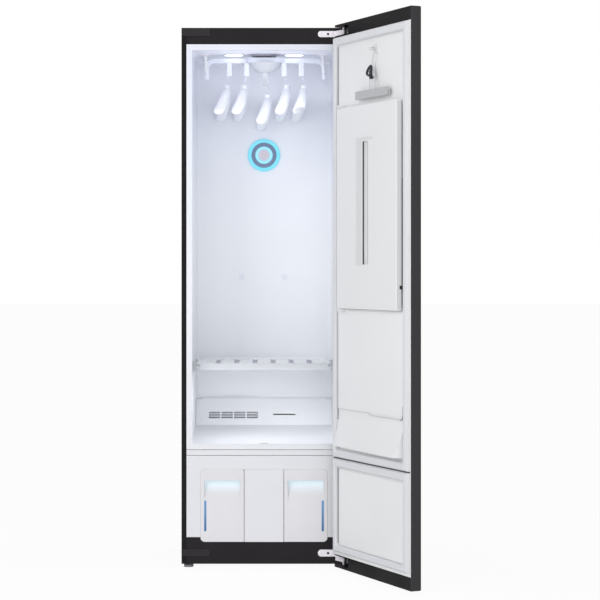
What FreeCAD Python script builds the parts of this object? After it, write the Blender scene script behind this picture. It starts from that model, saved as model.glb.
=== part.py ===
"""Clothes care steam cabinet, millimetres.

+X is to the right, +Y to the back, +Z up. The origin is on the floor, under the middle of the case.
The door stands open at DOOR_OPEN_ANGLE: its pieces are drawn shut and then turned about the hinge.
"d" is a distance behind the case's front plane. On the door, "s" is a distance from its hinge edge
and "p" a distance from its inner face towards the chamber.
"""
import FreeCAD
import Part
import math
import os

V = FreeCAD.Vector
X_AXIS = V(1, 0, 0)
Y_AXIS = V(0, 1, 0)
Z_AXIS = V(0, 0, 1)

# ---- case
WIDTH = 600.0
DEPTH = 525.0
FOOT_HEIGHT = 13.0
BODY_HEIGHT = 1949.0
SHEET = 0.8
STILE_WIDTH = 18.0
STILE_LIP = 16.0
REAR_RETURN = 12.0
RAIL_SHEET = 1.5
RAIL_FLANGE = 24.0
TOP_RAIL_HEIGHT = 60.0
BOTTOM_RAIL_HEIGHT = 97.0
TRAY_EDGE = 24.0
SEAT_GAP = 0.2            # between rigid pieces that sit beside each other
VENT_SLOT = (64.0, 5.0)
VENT_PITCH = 12.0
VENT_ROWS = 9
VENT_COLUMNS = 4
REAR_RIBS = 4
RIB_HEIGHT = 18.0
RIB_DEPTH = 3.0

# ---- feet
FOOT_INSET_X = 25.5
FOOT_INSET_Y = 24.0
FOOT_RADIUS = 17.5
FOOT_PAD = 9.0
FOOT_STEM_RADIUS = 5.0
FOOT_STEM_LENGTH = 22.0
FOOT_NUT_RADIUS = 10.0
THREAD_CLEARANCE = 0.06

# ---- chamber
FLANGE_WIDTH = 20.0       # of the white border at each side of the chamber's mouth
REAR_SPACE = 65.0         # behind the chamber
LINER = 3.0
CEILING_GAP = 73.0        # from the ceiling to the top of the case
HEADER_DROP = 8.0
HEADER_DEPTH = 18.0
CHAMBER_CORNER = 16.0
SILL_HEIGHT = 449.0
CHANNEL_DROP = 2.0
CHANNEL_DEPTH = 50.0
FLOOR_RISE = 37.0
LOWER_PANEL_TOP = 406.5
DIVIDER_HEIGHT = 21.0
SHADOW_GAP = 1.5
PANEL_SHEET = 3.0

# ---- tanks
TANK_SIDE_MARGIN = 51.0
TANK_BOTTOM = 93.0
TANK_HEIGHT = 264.0
TANK_PITCH_GAP = 2.0
CENTRE_HALF_WIDTH = 71.0
TANK_CORNER = 16.0
TANK_WALL = 2.5
TANK_LENGTH = 190.0
TANK_PROUD = 2.0
TANK_LID = 7.0
BAY_WALL = 2.0
BAY_LENGTH = 230.0
FILLER_RADIUS = 14.0
FILLER_DEPTH = 120.0
GRIP_INSET = 13.5         # from each side of the tank
GRIP_TOP = 41.0           # below the tank's top
GRIP_DEPTH = 24.0
GRIP_FALL = 72.0

# ---- duct cover, filter, nozzle
DUCT_SIDE_GAP = 23.0
DUCT_DEPTH = 60.0         # of the cover's foot, from the chamber's back wall
DUCT_HEIGHT = 100.0
DUCT_LEDGE = 16.0
DUCT_SHEET = 2.5
GRILLE_MARGIN = 27.0      # from the cover's left end
GRILLE_SLOT = 43.0
GRILLE_PITCH = 48.5
GRILLE_COLUMNS = 4
GRILLE_ROWS = 3
GRILLE_BOTTOM = 511.0
GRILLE_ROW_PITCH = 9.0
GRILLE_ROW_HEIGHT = 6.0
STEAM_SLOT = (35.0, 121.0)
STEAM_SLOT_Z = (523.0, 527.5)
FILTER_THICKNESS = 5.0
FILTER_WIDTH = 196.0
FILTER_HEIGHT = 88.0
NOZZLE_DROP = 438.0       # below the top of the case
NOZZLE_RADII = (62.0, 48.0, 34.0, 21.5)
NOZZLE_PROUD = (8.0, 10.0, 7.0, 12.0)
RING_CLEARANCE = 0.2
NOZZLE_HOLE_RADIUS = 1.6
NOZZLE_HOLE_RINGS = ((7.0, 6), (14.0, 12))  # radius, holes

# ---- shelf
SHELF_SIDE_GAP = 14.0
SHELF_FRONT = 66.0
SHELF_BACK_GAP = 8.0
SHELF_TOP = 738.0
SHELF_SHEET = 3.0
SHELF_LIP = 23.0
SHELF_REAR_LIP = 7.0
SHELF_SLOT_WIDTH = 18.0
SHELF_SLOT_PITCH = 68.0
SHELF_SLOTS = 6
SHELF_SLOT_MARGIN = 34.0
LEDGE_WIDTH = 24.0
LEDGE_THICKNESS = 6.0
BRACKET_LENGTH = 30.0
SIDE_CLEARANCE = 0.5
CLIP_PLACES = ((-85.0, 1053.0), (79.0, 1053.0))

# ---- hanger rail
RAIL_TO_WALL = 210.0      # from the rail's centre line to the chamber's back wall
RAIL_PARK = 5.0           # the drive parks the rail this far right of the centre
RAIL_TRAVEL = 15.0        # to each side of the centre
RAIL_BELOW_CEILING = 14.0
RAIL_BAR = (17.0, 22.0)   # height, depth
RAIL_END_GAP = 43.0
RAIL_LEG = 61.0
RAIL_LEG_WIDTH = 15.0
RAIL_BEND = 36.0
BLOCK_SIZE = (136.0, 96.0)
POST_PLACES = (-135.0, -70.0, 0.0, 70.0, 135.0)
POST_SIZE = (18.0, 30.0, 49.0)
POST_CHEEK = 5.0
POST_SKIN = 2.0
HOOK_PIN_RADIUS = 3.0
HOOK_PIN_HEIGHT = 13.0
DOME_HEIGHT = 37.0
DOME_RADIUS = 60.0
DOME_WALL = 3.0
CRANK_RADIUS = 22.0
CRANK_DISC = (28.0, 5.0)
CRANK_PIN_RADIUS = 4.0
CRANK_SHAFT_RADIUS = 5.0
CRANK_RATE = 0.05         # radians of the crank for each millimetre of the rail
CRANK_SLOT_CLEARANCE = 0.75
DRIVE_BOSS_RADIUS = 46.0
ARM_WIDTH = 10.0
ARM_THICKNESS = 3.0
ARM_PIN_RADIUS = 3.0
ARM_TOP = 9.0             # of the upper pivot below the ceiling
ARM_LENGTH = 66.0
FIT = 0.05                # radial running clearance
LOOSE = 0.3               # clearance of loose pins and soft pieces

# ---- garment hangers
WIRE_RADIUS = 1.7
NECK_DROP = 48.0          # from the hook pin to the top of the neck
NECK_SHIFT = 10.0         # the hook leans out by this much
HANGER_SECTIONS = (       # along the arm, sideways, down, half width, half height
    (0.0, 0.0, 17.0, 12.0, 13.0),
    (65.0, -2.0, 42.0, 13.0, 12.0),
    (130.0, -11.0, 86.0, 17.0, 11.0),
    (172.0, -23.0, 118.0, 21.0, 10.0),
    (190.0, -28.0, 128.0, 17.0, 7.0),
)
NECK_RADIUS = 11.0

# ---- lamps and drive above the ceiling
LAMP_OFFSET = 113.0
LAMP_FORWARD = 10.0       # of the rail's centre line
LAMP_RADIUS = 35.0
LAMP_PROUD = 2.5
TANK_LAMP = (60.0, 14.0, 3.0)
MOTOR_RADIUS = 30.0
MOTOR_HEIGHT = 48.0

# ---- hinges
HINGE_INSET = 13.0        # of the pin from the door's hinge edge
HINGE_DEPTH = 28.0        # of the pin outside the door's inner face
HINGE_PIN_RADIUS = 3.0
HINGE_EYE_RADIUS = 5.0
HINGE_PLATE_INSET = (104.0, 42.0)          # from the case's side
HINGE_PLATE_SHEET = 3.0
PLATE_TOP_DROP = (34.0, 12.0)              # below the top of the case
PLATE_BOTTOM_Z = (40.0, 65.0)
ARM_BOTTOM_Z = (26.0, 48.0)
HINGE_ARM_THICKNESS = 4.0
SCREW_INSETS = (95.0, 53.0)
PLATE_HOLE_INSET = 67.0
SCREW_RADIUS = 4.0
SCREW_HEAD = 1.6
SCREW_LENGTH = 10.5
BLANK_WIDTH = 104.0
BLANK_TOP_DROP = (30.0, 1.0)
BLANK_BOTTOM_Z = (41.0, 67.0)
BLANK_CORNER = 10.0

# ---- door
DOOR_OPEN_ANGLE = 113.0
DOOR_GAP = 15.0
DOOR_THICKNESS = 38.0
DOOR_OVERHANG = 4.0
GLASS = 4.0
FRAME_WALL = 1.2
FRAME_BACK = 0.6
FRAME_BAND = 46.0
POCKET_LENGTH = 112.0
POCKET_MARGIN = 8.0
GASKET_INSET = 8.0
GASKET_WIDTH = 30.0
GASKET_HEIGHT = 14.4
GASKET_SPLIT = 406.0
GASKET_LOW = 68.5
GASKET_LOW_BAR = 24.0
GASKET_MARGIN = 2.0
PANEL_INSET = 7.0
DOOR_PANEL_RAISE = 4.0
LOWER_RAISE = 4.0
LAYER_BOTTOM = 586.0
LAYER_RAISE = 8.0
RAMP_BOTTOM = 452.0
RAMP_TOP = 560.0
RAMP_START = 5.0          # how far it stands out at its top
RAMP_REACH = (26.0, 41.0)                  # further out at its foot, at the hinge side and the free side
RAMP_STEPS = 9
RAMP_HOLLOW = 1.6         # the power of its curve
PRESS_INSET = (88.0, 40.0)                 # from the hinge side and the free side
PRESS_LOW = 945.0
PRESS_DROP = 305.0        # of its top edge below the top of the case
PRESS_GAP = 8.0
PRESS_THICKNESS = 22.0
PRESS_CORNER = 10.0
PRESS_WALL = 3.0
PRESS_BOSS = 14.0
PRESS_PIVOT = (9.0, 11.0)  # from the panel's hinge edge, from its back
PRESS_PIN_RADIUS = 3.0
PRESS_GRIP_S = (299.0, 340.0)
PRESS_GRIP_ENDS = (155.0, 128.0)           # from the press's lower and upper edges
PRESS_GRIP_DEPTH = 15.0
PRESS_GRIP_BAR = 9.0
LATCH_RISE = (21.0, 73.0)                  # above the press's lower edge
LATCH_SIZE = (9.0, 12.0)
LATCH_PROUD = 1.5
LATCH_TRAVEL = 3.0
PEG_ASIDE = 48.0          # of the peg from the door's middle
PEG_RISE = 189.0          # this and the next rises are above the press's top edge
PEG_RADIUS = 4.0
CLAMP_REACH = (123.0, 127.0)               # to each side of the peg
CLAMP_RISE = (20.0, 49.0)
CLAMP_BAR = 4.0
CLAMP_REAR_P = 17.0
CLAMP_GAP = 1.5
LEVER_RISE = (84.0, 128.0)
LEVER_PIVOT_RISE = 90.0
CLAMP_PIN_RADIUS = 1.0
LUG_WIDTH = 3.0
LUG_HALF = 3.5

# ---- machine room
COMPRESSOR = (135.0, 400.0, 56.0, 150.0)   # from the right side, d, radius, height of the can
GENERATOR = (-20.0, 300.0, 120.0, 80.0, 92.0)
COIL_SIZE = (120.0, 36.0, 190.0)
COIL_ASIDE = 135.0        # from the fan's axis
COIL_DEPTHS = (372.0, 428.0)
FAN_SIDE_GAP = 95.0
FAN_HEIGHT = 100.0
FAN_HOUSING = (74.0, 66.0, 330.0)
FAN_SHEET = 2.0
FLUE_GAP = 7.0            # under the chamber's channel
ROTOR = (58.0, 46.0, 14.0)
BLADES = 16
PUMPS = (-150.0, 120.0)
INLET_INSET = 75.0
INLET_HEIGHT = 120.0
INLET_SIZE = (50.0, 32.0, 30.0)
HOSE_RADIUS = 7.0
HOSE_END = (78.0, 24.0)   # X, and from the chamber's back wall
HOSE_BENDS = (186.0, 106.0)                # of its two bends below the chamber's floor
BOX_SHEET = 1.5           # of the steam generator and the control box
CONTROL_BOX_INSET = (240.0, 60.0)          # from the case's right side
CONTROL_BOX_Z = (250.0, 400.0)

# ---- derived places
BASE = FOOT_HEIGHT
TOP = FOOT_HEIGHT + BODY_HEIGHT
FRONT = -DEPTH / 2
HALF = WIDTH / 2
BAY_HALF = HALF - STILE_WIDTH
OPENING_HALF_WIDTH = BAY_HALF - FLANGE_WIDTH
CHAMBER_DEPTH = DEPTH - REAR_SPACE
FLOOR_BACK = CHAMBER_DEPTH - DUCT_DEPTH
CEILING = TOP - CEILING_GAP
HEADER = CEILING - HEADER_DROP
CHANNEL = SILL_HEIGHT - CHANNEL_DROP
FLOOR_TOP = SILL_HEIGHT + FLOOR_RISE
TOP_RAIL_LOW = TOP - TOP_RAIL_HEIGHT
BOTTOM_RAIL_TOP = BASE + BOTTOM_RAIL_HEIGHT
TRAY_TOP = BASE + RAIL_SHEET
DUCT_TOP = FLOOR_TOP + DUCT_HEIGHT
DUCT_LEDGE_START = CHAMBER_DEPTH - DUCT_LEDGE
DIVIDER_LOW = LOWER_PANEL_TOP + SHADOW_GAP
DIVIDER_TOP = DIVIDER_LOW + DIVIDER_HEIGHT - SHADOW_GAP
FLANGE_LOW = DIVIDER_TOP + SHADOW_GAP
TANK_TOP = TANK_BOTTOM + TANK_HEIGHT
TANK_BAY_HALF = BAY_HALF - TANK_SIDE_MARGIN
TANK_INNER = CENTRE_HALF_WIDTH + TANK_PITCH_GAP
GRIP_WIDTH = TANK_BAY_HALF - TANK_INNER - 2 * GRIP_INSET
FACE_END = GRIP_DEPTH - TANK_PROUD + TANK_WALL
DUCT_HALF_WIDTH = OPENING_HALF_WIDTH - DUCT_SIDE_GAP
GRILLE_LEFT = GRILLE_MARGIN - DUCT_HALF_WIDTH
NOZZLE_HEIGHT = TOP - NOZZLE_DROP
SHELF_HALF_WIDTH = OPENING_HALF_WIDTH - SHELF_SIDE_GAP
SHELF_BACK = CHAMBER_DEPTH - SHELF_BACK_GAP
RAIL_DEPTH = CHAMBER_DEPTH - RAIL_TO_WALL
RAIL_HALF_LENGTH = OPENING_HALF_WIDTH - RAIL_END_GAP
LAMP_DEPTH = RAIL_DEPTH - LAMP_FORWARD
RAIL_TOP = CEILING - RAIL_BELOW_CEILING
RAIL_LOW = RAIL_TOP - RAIL_BAR[0]
RAIL_Y = FRONT + RAIL_DEPTH
POST_LOW = RAIL_LOW - POST_SIZE[2]
DOME_LOW = RAIL_LOW - DOME_HEIGHT
ARM_PIVOT = CEILING - ARM_TOP
ARM_PIN = ARM_PIVOT - ARM_LENGTH
DOOR_FACE = FRONT - DOOR_GAP
DOOR_LOW = BASE - DOOR_OVERHANG
DOOR_TOP = TOP + DOOR_OVERHANG
PLATE_TOP_Z = tuple(TOP - drop for drop in PLATE_TOP_DROP)
BLANK_TOP_Z = tuple(TOP - drop for drop in BLANK_TOP_DROP)
PLATE_X = tuple(HALF - inset for inset in HINGE_PLATE_INSET)
PLATE_SCREWS = tuple(HALF - inset for inset in SCREW_INSETS)
PLATE_HOLE = HALF - PLATE_HOLE_INSET
HINGE_X = HALF - HINGE_INSET
HINGE_Y = DOOR_FACE - HINGE_DEPTH
FRAME_FLOOR = -DOOR_THICKNESS + GLASS
GASKET_TOP = DOOR_TOP - FRAME_BAND - GASKET_MARGIN
PANEL_S = (GASKET_INSET + GASKET_WIDTH + PANEL_INSET, WIDTH - GASKET_INSET - GASKET_WIDTH - PANEL_INSET)
UPPER_PANEL_TOP = GASKET_TOP - GASKET_WIDTH - GASKET_MARGIN - PANEL_INSET
PRESS_S = (PRESS_INSET[0], WIDTH - PRESS_INSET[1])
PRESS_Z = (PRESS_LOW, TOP - PRESS_DROP)
PRESS_GRIP_Z = (PRESS_Z[0] + PRESS_GRIP_ENDS[0], PRESS_Z[1] - PRESS_GRIP_ENDS[1])
LATCH_Z = tuple(PRESS_Z[0] + rise for rise in LATCH_RISE)
PEG_S = WIDTH / 2 + PEG_ASIDE
PEG_Z = PRESS_Z[1] + PEG_RISE
CLAMP_S = (PEG_S - CLAMP_REACH[0], PEG_S + CLAMP_REACH[1])
CLAMP_Z = tuple(PRESS_Z[1] + rise for rise in CLAMP_RISE)
LEVER_Z = tuple(PRESS_Z[1] + rise for rise in LEVER_RISE)
LEVER_PIVOT_Z = PRESS_Z[1] + LEVER_PIVOT_RISE
FAN_X = FAN_SIDE_GAP - HALF
INLET_X = HALF - INLET_INSET
PRESS_P = (DOOR_PANEL_RAISE + PRESS_GAP, DOOR_PANEL_RAISE + PRESS_GAP + PRESS_THICKNESS)
PRESS_PIVOT_S = PRESS_S[0] + PRESS_PIVOT[0]
PRESS_PIVOT_P = PRESS_P[0] + PRESS_PIVOT[1]


# ---- drawing helpers
def box(x, d, z):
    """A box from pairs of X, distance behind the front plane, and height."""
    size = (x[1] - x[0], d[1] - d[0], z[1] - z[0])
    return Part.makeBox(*size, V(x[0], FRONT + d[0], z[0]))


def door_box(s, p, z):
    """A box on the shut door, from pairs of s, p and height."""
    size = (s[1] - s[0], p[1] - p[0], z[1] - z[0])
    return Part.makeBox(*size, V(HALF - s[1], DOOR_FACE + p[0], z[0]))


def door_point(s, p, z):
    return V(HALF - s, DOOR_FACE + p, z)


def cylinder(radius, height, place, axis=Z_AXIS):
    return Part.makeCylinder(radius, height, place, axis)


def ring(outer, inner, height, place, axis=Z_AXIS):
    return cylinder(outer, height, place, axis).cut(cylinder(inner, height, place, axis))


def prism(points, x0, x1):
    """A prism along X whose outline is given as (y, z) points."""
    outline = [V(x0, y, z) for y, z in points]
    face = Part.Face(Part.makePolygon(outline + outline[:1]))
    return face.extrude(V(x1 - x0, 0, 0))


def plan(points, z0, z1):
    """An upright prism whose outline is given as (x, y) points."""
    outline = [V(x, y, z0) for x, y in points]
    face = Part.Face(Part.makePolygon(outline + outline[:1]))
    return face.extrude(V(0, 0, z1 - z0))


def edges_along(shape, axis, chosen=lambda centre: True):
    """The straight edges of a shape that run along an axis."""
    found = []
    for edge in shape.Edges:
        start, end = edge.Vertexes[0].Point, edge.Vertexes[-1].Point
        run = end.sub(start)
        if run.Length > 0 and run.cross(axis).Length < 1e-6 * run.Length and chosen(edge.CenterOfMass):
            found.append(edge)
    return found


def rounded(shape, radius, axis, chosen=lambda centre: True):
    return shape.makeFillet(radius, edges_along(shape, axis, chosen))


def fuse(shapes):
    whole = shapes[0]
    if len(shapes) > 1:
        whole = whole.fuse(shapes[1:]).removeSplitter()
    return whole.Solids[0] if len(whole.Solids) == 1 else whole


def cut(shape, tools):
    left = shape.cut(tools) if tools else shape
    return left.Solids[0] if len(left.Solids) == 1 else left


def group(shapes):
    return Part.makeCompound(shapes)


def mirrored(shape):
    return shape.mirror(V(0, 0, 0), X_AXIS)


def on_door(shape):
    """Turns a piece of the shut door to where the open door stands."""
    turned = shape.copy()
    turned.rotate(V(HINGE_X, HINGE_Y, 0), Z_AXIS, DOOR_OPEN_ANGLE)
    return turned


def path(points, bend):
    """Straight runs through the points, joined by tangent arcs of one radius."""
    points = [V(*point) for point in points]
    edges = []
    at = points[0]
    for before, corner, after in zip(points, points[1:], points[2:]):
        come = corner.sub(before).normalize()
        go = after.sub(corner).normalize()
        turn = come.getAngle(go)
        back = bend * math.tan(turn / 2)
        start = corner.sub(come * back)
        end = corner.add(go * back)
        middle_way = go.sub(come).normalize()
        centre = corner.add(middle_way * (bend / math.cos(turn / 2)))
        middle = centre.sub(middle_way * bend)
        edges.append(Part.LineSegment(at, start).toShape())
        edges.append(Part.Arc(start, middle, end).toShape())
        at = end
    edges.append(Part.LineSegment(at, points[-1]).toShape())
    return Part.Wire(edges)


def tube(points, radius, bend, bore=0.0):
    """A round bar or hose along a bent path."""
    wire = path(points, bend)
    first = V(*points[0])
    along = V(*points[1]).sub(first)

    def swept(size):
        circle = Part.Wire(Part.makeCircle(size, first, along))
        return wire.makePipeShell([circle], True, False)

    bar = swept(radius)
    return bar.cut(swept(bore)) if bore else bar


# ---- case
def side_panel_left():
    z = (BASE, TOP - SHEET)
    skin = box((-HALF, -HALF + SHEET), (0, DEPTH), z)
    stile = box((-HALF, -BAY_HALF), (0, SHEET), z)
    lip = box((-BAY_HALF - SHEET, -BAY_HALF), (0, STILE_LIP), z)
    rear = box((-HALF, -HALF + REAR_RETURN), (DEPTH - SHEET, DEPTH), z)
    return fuse([skin, stile, lip, rear])


def side_panel_right():
    return mirrored(side_panel_left())


def top_cover():
    plate = box((-HALF, HALF), (0, DEPTH), (TOP - SHEET, TOP))
    inside = HALF - SHEET - SEAT_GAP
    low = TOP - SHEET - TRAY_EDGE / 2
    rims = []
    for x in ((-inside, -inside + SHEET), (inside - SHEET, inside)):
        rims.append(box(x, (RAIL_FLANGE + SHEET, DEPTH - 20.0), (low, TOP - SHEET)))
    return fuse([plate] + rims)


def front_rails():
    inner = BAY_HALF - SEAT_GAP
    x = (-inner, inner)
    sheet = RAIL_SHEET
    top = [
        box(x, (0, sheet), (TOP_RAIL_LOW, TOP - SHEET)),
        box(x, (0, RAIL_FLANGE), (TOP - SHEET - sheet, TOP - SHEET)),
    ]
    notch = box((-TANK_BAY_HALF - SEAT_GAP, TANK_BAY_HALF + SEAT_GAP), (-1, sheet + 1),
                (TANK_BOTTOM - SEAT_GAP, BOTTOM_RAIL_TOP + 1))
    notch = rounded(notch, TANK_CORNER, Y_AXIS, lambda c: c.z < TANK_BOTTOM)
    face = box(x, (0, sheet), (BASE, BOTTOM_RAIL_TOP)).cut(notch)
    foot_x = HALF - FOOT_INSET_X
    flange = box((-foot_x + FOOT_RADIUS, foot_x - FOOT_RADIUS), (0, RAIL_FLANGE), (TRAY_TOP, TRAY_TOP + sheet))
    holes = []
    for across, up in screw_places():
        holes.append(cylinder(SCREW_RADIUS + SEAT_GAP, sheet + 2, V(across, FRONT - 1, up), Y_AXIS))
    return group([cut(fuse(top), holes), cut(fuse([face, flange]), holes)])


def screw_places():
    return [(x, sum(plate_z) / 2) for plate_z in (PLATE_TOP_Z, PLATE_BOTTOM_Z) for x in PLATE_SCREWS]


def rear_cover():
    outer = HALF - SHEET - SEAT_GAP
    low, high = BASE + RAIL_SHEET + SEAT_GAP, TOP - SHEET
    back = DEPTH - SHEET
    plate = box((-outer, outer), (back - SHEET, back), (low, high))
    ribs = []
    pitch = (TOP - FLOOR_TOP) / REAR_RIBS
    for number in range(REAR_RIBS):
        height = FLOOR_TOP + (number + 0.5) * pitch
        deep = (back - SHEET - RIB_DEPTH, back - SHEET)
        ribs.append(box((-outer + 40, outer - 40), deep, (height, height + RIB_HEIGHT)))
    slots = []
    wide, tall = VENT_SLOT
    for column in range(VENT_COLUMNS):
        for row in range(VENT_ROWS):
            left = -215 + column * (wide + 14)
            foot = 150 + row * VENT_PITCH
            slots.append(box((left, left + wide), (back - 2 * SHEET, back + 1), (foot, foot + tall)))
    x, z = INLET_X, INLET_HEIGHT
    wide, tall = INLET_SIZE[0] / 2 + SEAT_GAP, INLET_SIZE[1] / 2 + SEAT_GAP
    slots.append(box((x - wide, x + wide), (back - 2 * SHEET, back + 1), (z - tall, z + tall)))
    return cut(fuse([plate] + ribs), slots)


def foot_places():
    x = HALF - FOOT_INSET_X
    return [(-x, FRONT + FOOT_INSET_Y), (x, FRONT + FOOT_INSET_Y),
            (-x, -FRONT - FOOT_INSET_Y), (x, -FRONT - FOOT_INSET_Y)]


def base_tray():
    outer = HALF - SHEET - SEAT_GAP
    d = (STILE_LIP + SEAT_GAP, DEPTH - 2 * SHEET - SEAT_GAP)
    floor = box((-outer, outer), d, (BASE, TRAY_TOP))
    edges = []
    for x in ((-outer, -outer + SHEET), (outer - SHEET, outer)):
        edges.append(box(x, (RAIL_FLANGE + 30, DEPTH - 40), (TRAY_TOP, TRAY_TOP + TRAY_EDGE)))
    nuts, holes = [], []
    for x, y in foot_places()[:2]:
        nuts.append(cylinder(FOOT_NUT_RADIUS, TRAY_EDGE - 6, V(x, y, TRAY_TOP)))
        holes.append(cylinder(FOOT_STEM_RADIUS + THREAD_CLEARANCE, TRAY_EDGE + 4, V(x, y, BASE - 1)))
    return cut(fuse([floor] + edges + nuts), holes)


def front_foot(side):
    x, y = foot_places()[side]
    pad = cylinder(FOOT_RADIUS, FOOT_PAD, V(x, y, 0))
    pad = pad.makeFillet(2.0, pad.Edges[:1])
    stem = cylinder(FOOT_STEM_RADIUS, FOOT_STEM_LENGTH, V(x, y, FOOT_PAD - 1))
    return fuse([pad, stem])


def rear_feet():
    pads = []
    for x, y in foot_places()[2:]:
        pads.append(cylinder(FOOT_RADIUS, FOOT_HEIGHT, V(x, y, 0)))
    return group(pads)


# ---- chamber
def rounded_room(half, depth, low, high, radius):
    room = box((-half, half), (0, depth), (low, high))
    long_edges = edges_along(room, Y_AXIS)
    rear = [e for e in room.Edges if e.CenterOfMass.y > FRONT + depth - 0.1]
    return room.makeFillet(radius, long_edges + rear)


def floor_wedge(half, drop):
    """All that lies below the chamber's floor, which rises to the back behind a drip channel."""
    low = CHANNEL - FLOOR_RISE
    points = [(-2, CHANNEL), (CHANNEL_DEPTH, CHANNEL), (FLOOR_BACK, FLOOR_TOP), (CHAMBER_DEPTH + 9, FLOOR_TOP),
              (CHAMBER_DEPTH + 9, low), (-2, low)]
    return prism([(FRONT + d, z - drop) for d, z in points], -half - 9, half + 9)


def chamber_liner():
    half = OPENING_HALF_WIDTH
    outer = rounded_room(half + LINER, CHAMBER_DEPTH + LINER, CHANNEL - LINER, CEILING + LINER,
                         CHAMBER_CORNER + LINER)
    outer = outer.cut(floor_wedge(half, LINER))
    flange = box((-BAY_HALF + SEAT_GAP, BAY_HALF - SEAT_GAP), (0, LINER), (FLANGE_LOW, TOP_RAIL_LOW))
    sill = box((-half, half), (0, LINER + 2), (CHANNEL - LINER, SILL_HEIGHT))
    room = rounded_room(half, CHAMBER_DEPTH, CHANNEL, CEILING, CHAMBER_CORNER)
    room = room.fuse(box((-half + 20, half - 20), (-1, 5), (SILL_HEIGHT, HEADER)))
    header = box((-half, half), (-2, HEADER_DEPTH), (HEADER, CEILING + 1))
    room = room.cut([floor_wedge(half, 0), header])
    room = room.cut(box((-half, half), (-2, LINER + 2), (CHANNEL - 1, SILL_HEIGHT)))
    openings = [room]
    for x, d in lamp_places():
        openings.append(cylinder(LAMP_RADIUS - 4, 20, V(x, FRONT + d, CEILING - 5)))
    openings.append(cylinder(DRIVE_BOSS_RADIUS + SEAT_GAP, 20, V(0, RAIL_Y, CEILING - 5)))
    x, d = hose_end()
    openings.append(cylinder(HOSE_RADIUS + LOOSE, 40, V(x, FRONT + d, FLOOR_TOP - 20)))
    return cut(fuse([outer, flange, sill]), openings)


def divider_bar():
    inner = BAY_HALF - SEAT_GAP
    face = box((-inner, inner), (0, PANEL_SHEET), (DIVIDER_LOW, DIVIDER_TOP))
    shelf = box((-inner, inner), (PANEL_SHEET, 40), (DIVIDER_LOW, DIVIDER_LOW + PANEL_SHEET))
    return fuse([face, shelf])


def lower_front_panel():
    inner = BAY_HALF - SEAT_GAP
    plate = box((-inner, inner), (0, PANEL_SHEET), (BOTTOM_RAIL_TOP + SEAT_GAP, LOWER_PANEL_TOP))
    half = TANK_BAY_HALF + SEAT_GAP
    mouth = box((-half, half), (-1, PANEL_SHEET + 1), (BASE, TANK_TOP + SEAT_GAP))
    mouth = rounded(mouth, TANK_CORNER, Y_AXIS)
    rim = box((-inner, inner), (PANEL_SHEET, 30), (LOWER_PANEL_TOP - PANEL_SHEET, LOWER_PANEL_TOP))
    return cut(fuse([plate, rim]), [mouth])


def tank_bay():
    """The bay's tub, with a room for each tank and one between them, and the plate that closes its top."""
    wall = BAY_WALL
    half = TANK_BAY_HALF + SIDE_CLEARANCE
    low, high = TANK_BOTTOM - SIDE_CLEARANCE, TANK_TOP + SIDE_CLEARANCE
    d = (PANEL_SHEET + SEAT_GAP, BAY_LENGTH)
    across = (-half - wall, half + wall)
    tub = box(across, d, (low - wall, high))
    plate = box(across, d, (high, high + wall))
    edge = TANK_INNER - SIDE_CLEARANCE
    rooms = []
    for x in ((-half, -edge), (-edge + wall, edge - wall), (edge, half)):
        rooms.append(box(x, (0, BAY_LENGTH - wall), (low, high + 1)))
    legs = []
    for x in (-half + 20, -20.0, half - 60):
        legs.append(box((x, x + 40), (120, 200), (TRAY_TOP, low - wall)))
    return group([cut(fuse([tub] + legs), rooms), plate])


def centre_cover():
    x = (-CENTRE_HALF_WIDTH, CENTRE_HALF_WIDTH)
    cover = box(x, (-TANK_PROUD, PANEL_SHEET), (TANK_BOTTOM, TANK_TOP))
    inner = TANK_INNER - SIDE_CLEARANCE - BAY_WALL - SEAT_GAP
    rims = []
    for side in (-inner, inner - PANEL_SHEET):
        rims.append(box((side, side + PANEL_SHEET), (PANEL_SHEET, 30), (TANK_BOTTOM + 6, TANK_TOP - 6)))
    return fuse([cover] + rims)


def grip_outline(grow):
    """The finger recess in a tank's front, in section."""
    top = TANK_TOP - GRIP_TOP + grow
    deep = FRONT - TANK_PROUD + GRIP_DEPTH + grow
    front = FRONT - TANK_PROUD - 1
    return [(front, top), (deep, top), (deep, top - 12 - 2 * grow), (front, top - GRIP_FALL - 2 * grow)]


def tank(side):
    """The supply tank (-1) or the drain tank (1): its tub, its lid and the front with the finger recess."""
    x = sorted((side * TANK_BAY_HALF, side * TANK_INNER))
    rim = TANK_TOP - TANK_LID
    wall = TANK_WALL

    def at_outer_side(centre):
        return abs(centre.x) > TANK_BAY_HALF - wall - 1

    outline = box(x, (-TANK_PROUD, TANK_LENGTH), (TANK_BOTTOM, TANK_TOP))
    outline = rounded(outline, TANK_CORNER, Y_AXIS, at_outer_side)
    inside = (x[0] + wall, x[1] - wall)
    room = box(inside, (FACE_END + wall, TANK_LENGTH - wall), (TANK_BOTTOM + wall, TANK_TOP - wall))
    room = rounded(room, TANK_CORNER - wall, Y_AXIS, at_outer_side)
    tub = outline.common(box(x, (FACE_END, TANK_LENGTH), (TANK_BOTTOM, rim))).cut(room)
    filler = cylinder(FILLER_RADIUS, TANK_LID + 2, V((x[0] + x[1]) / 2, FRONT + FILLER_DEPTH, rim - 1))
    lid = cut(outline.common(box(x, (FACE_END, TANK_LENGTH), (rim, TANK_TOP))), [filler])
    return group([tub.Solids[0], lid, tank_front(side, outline, x)])


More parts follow.
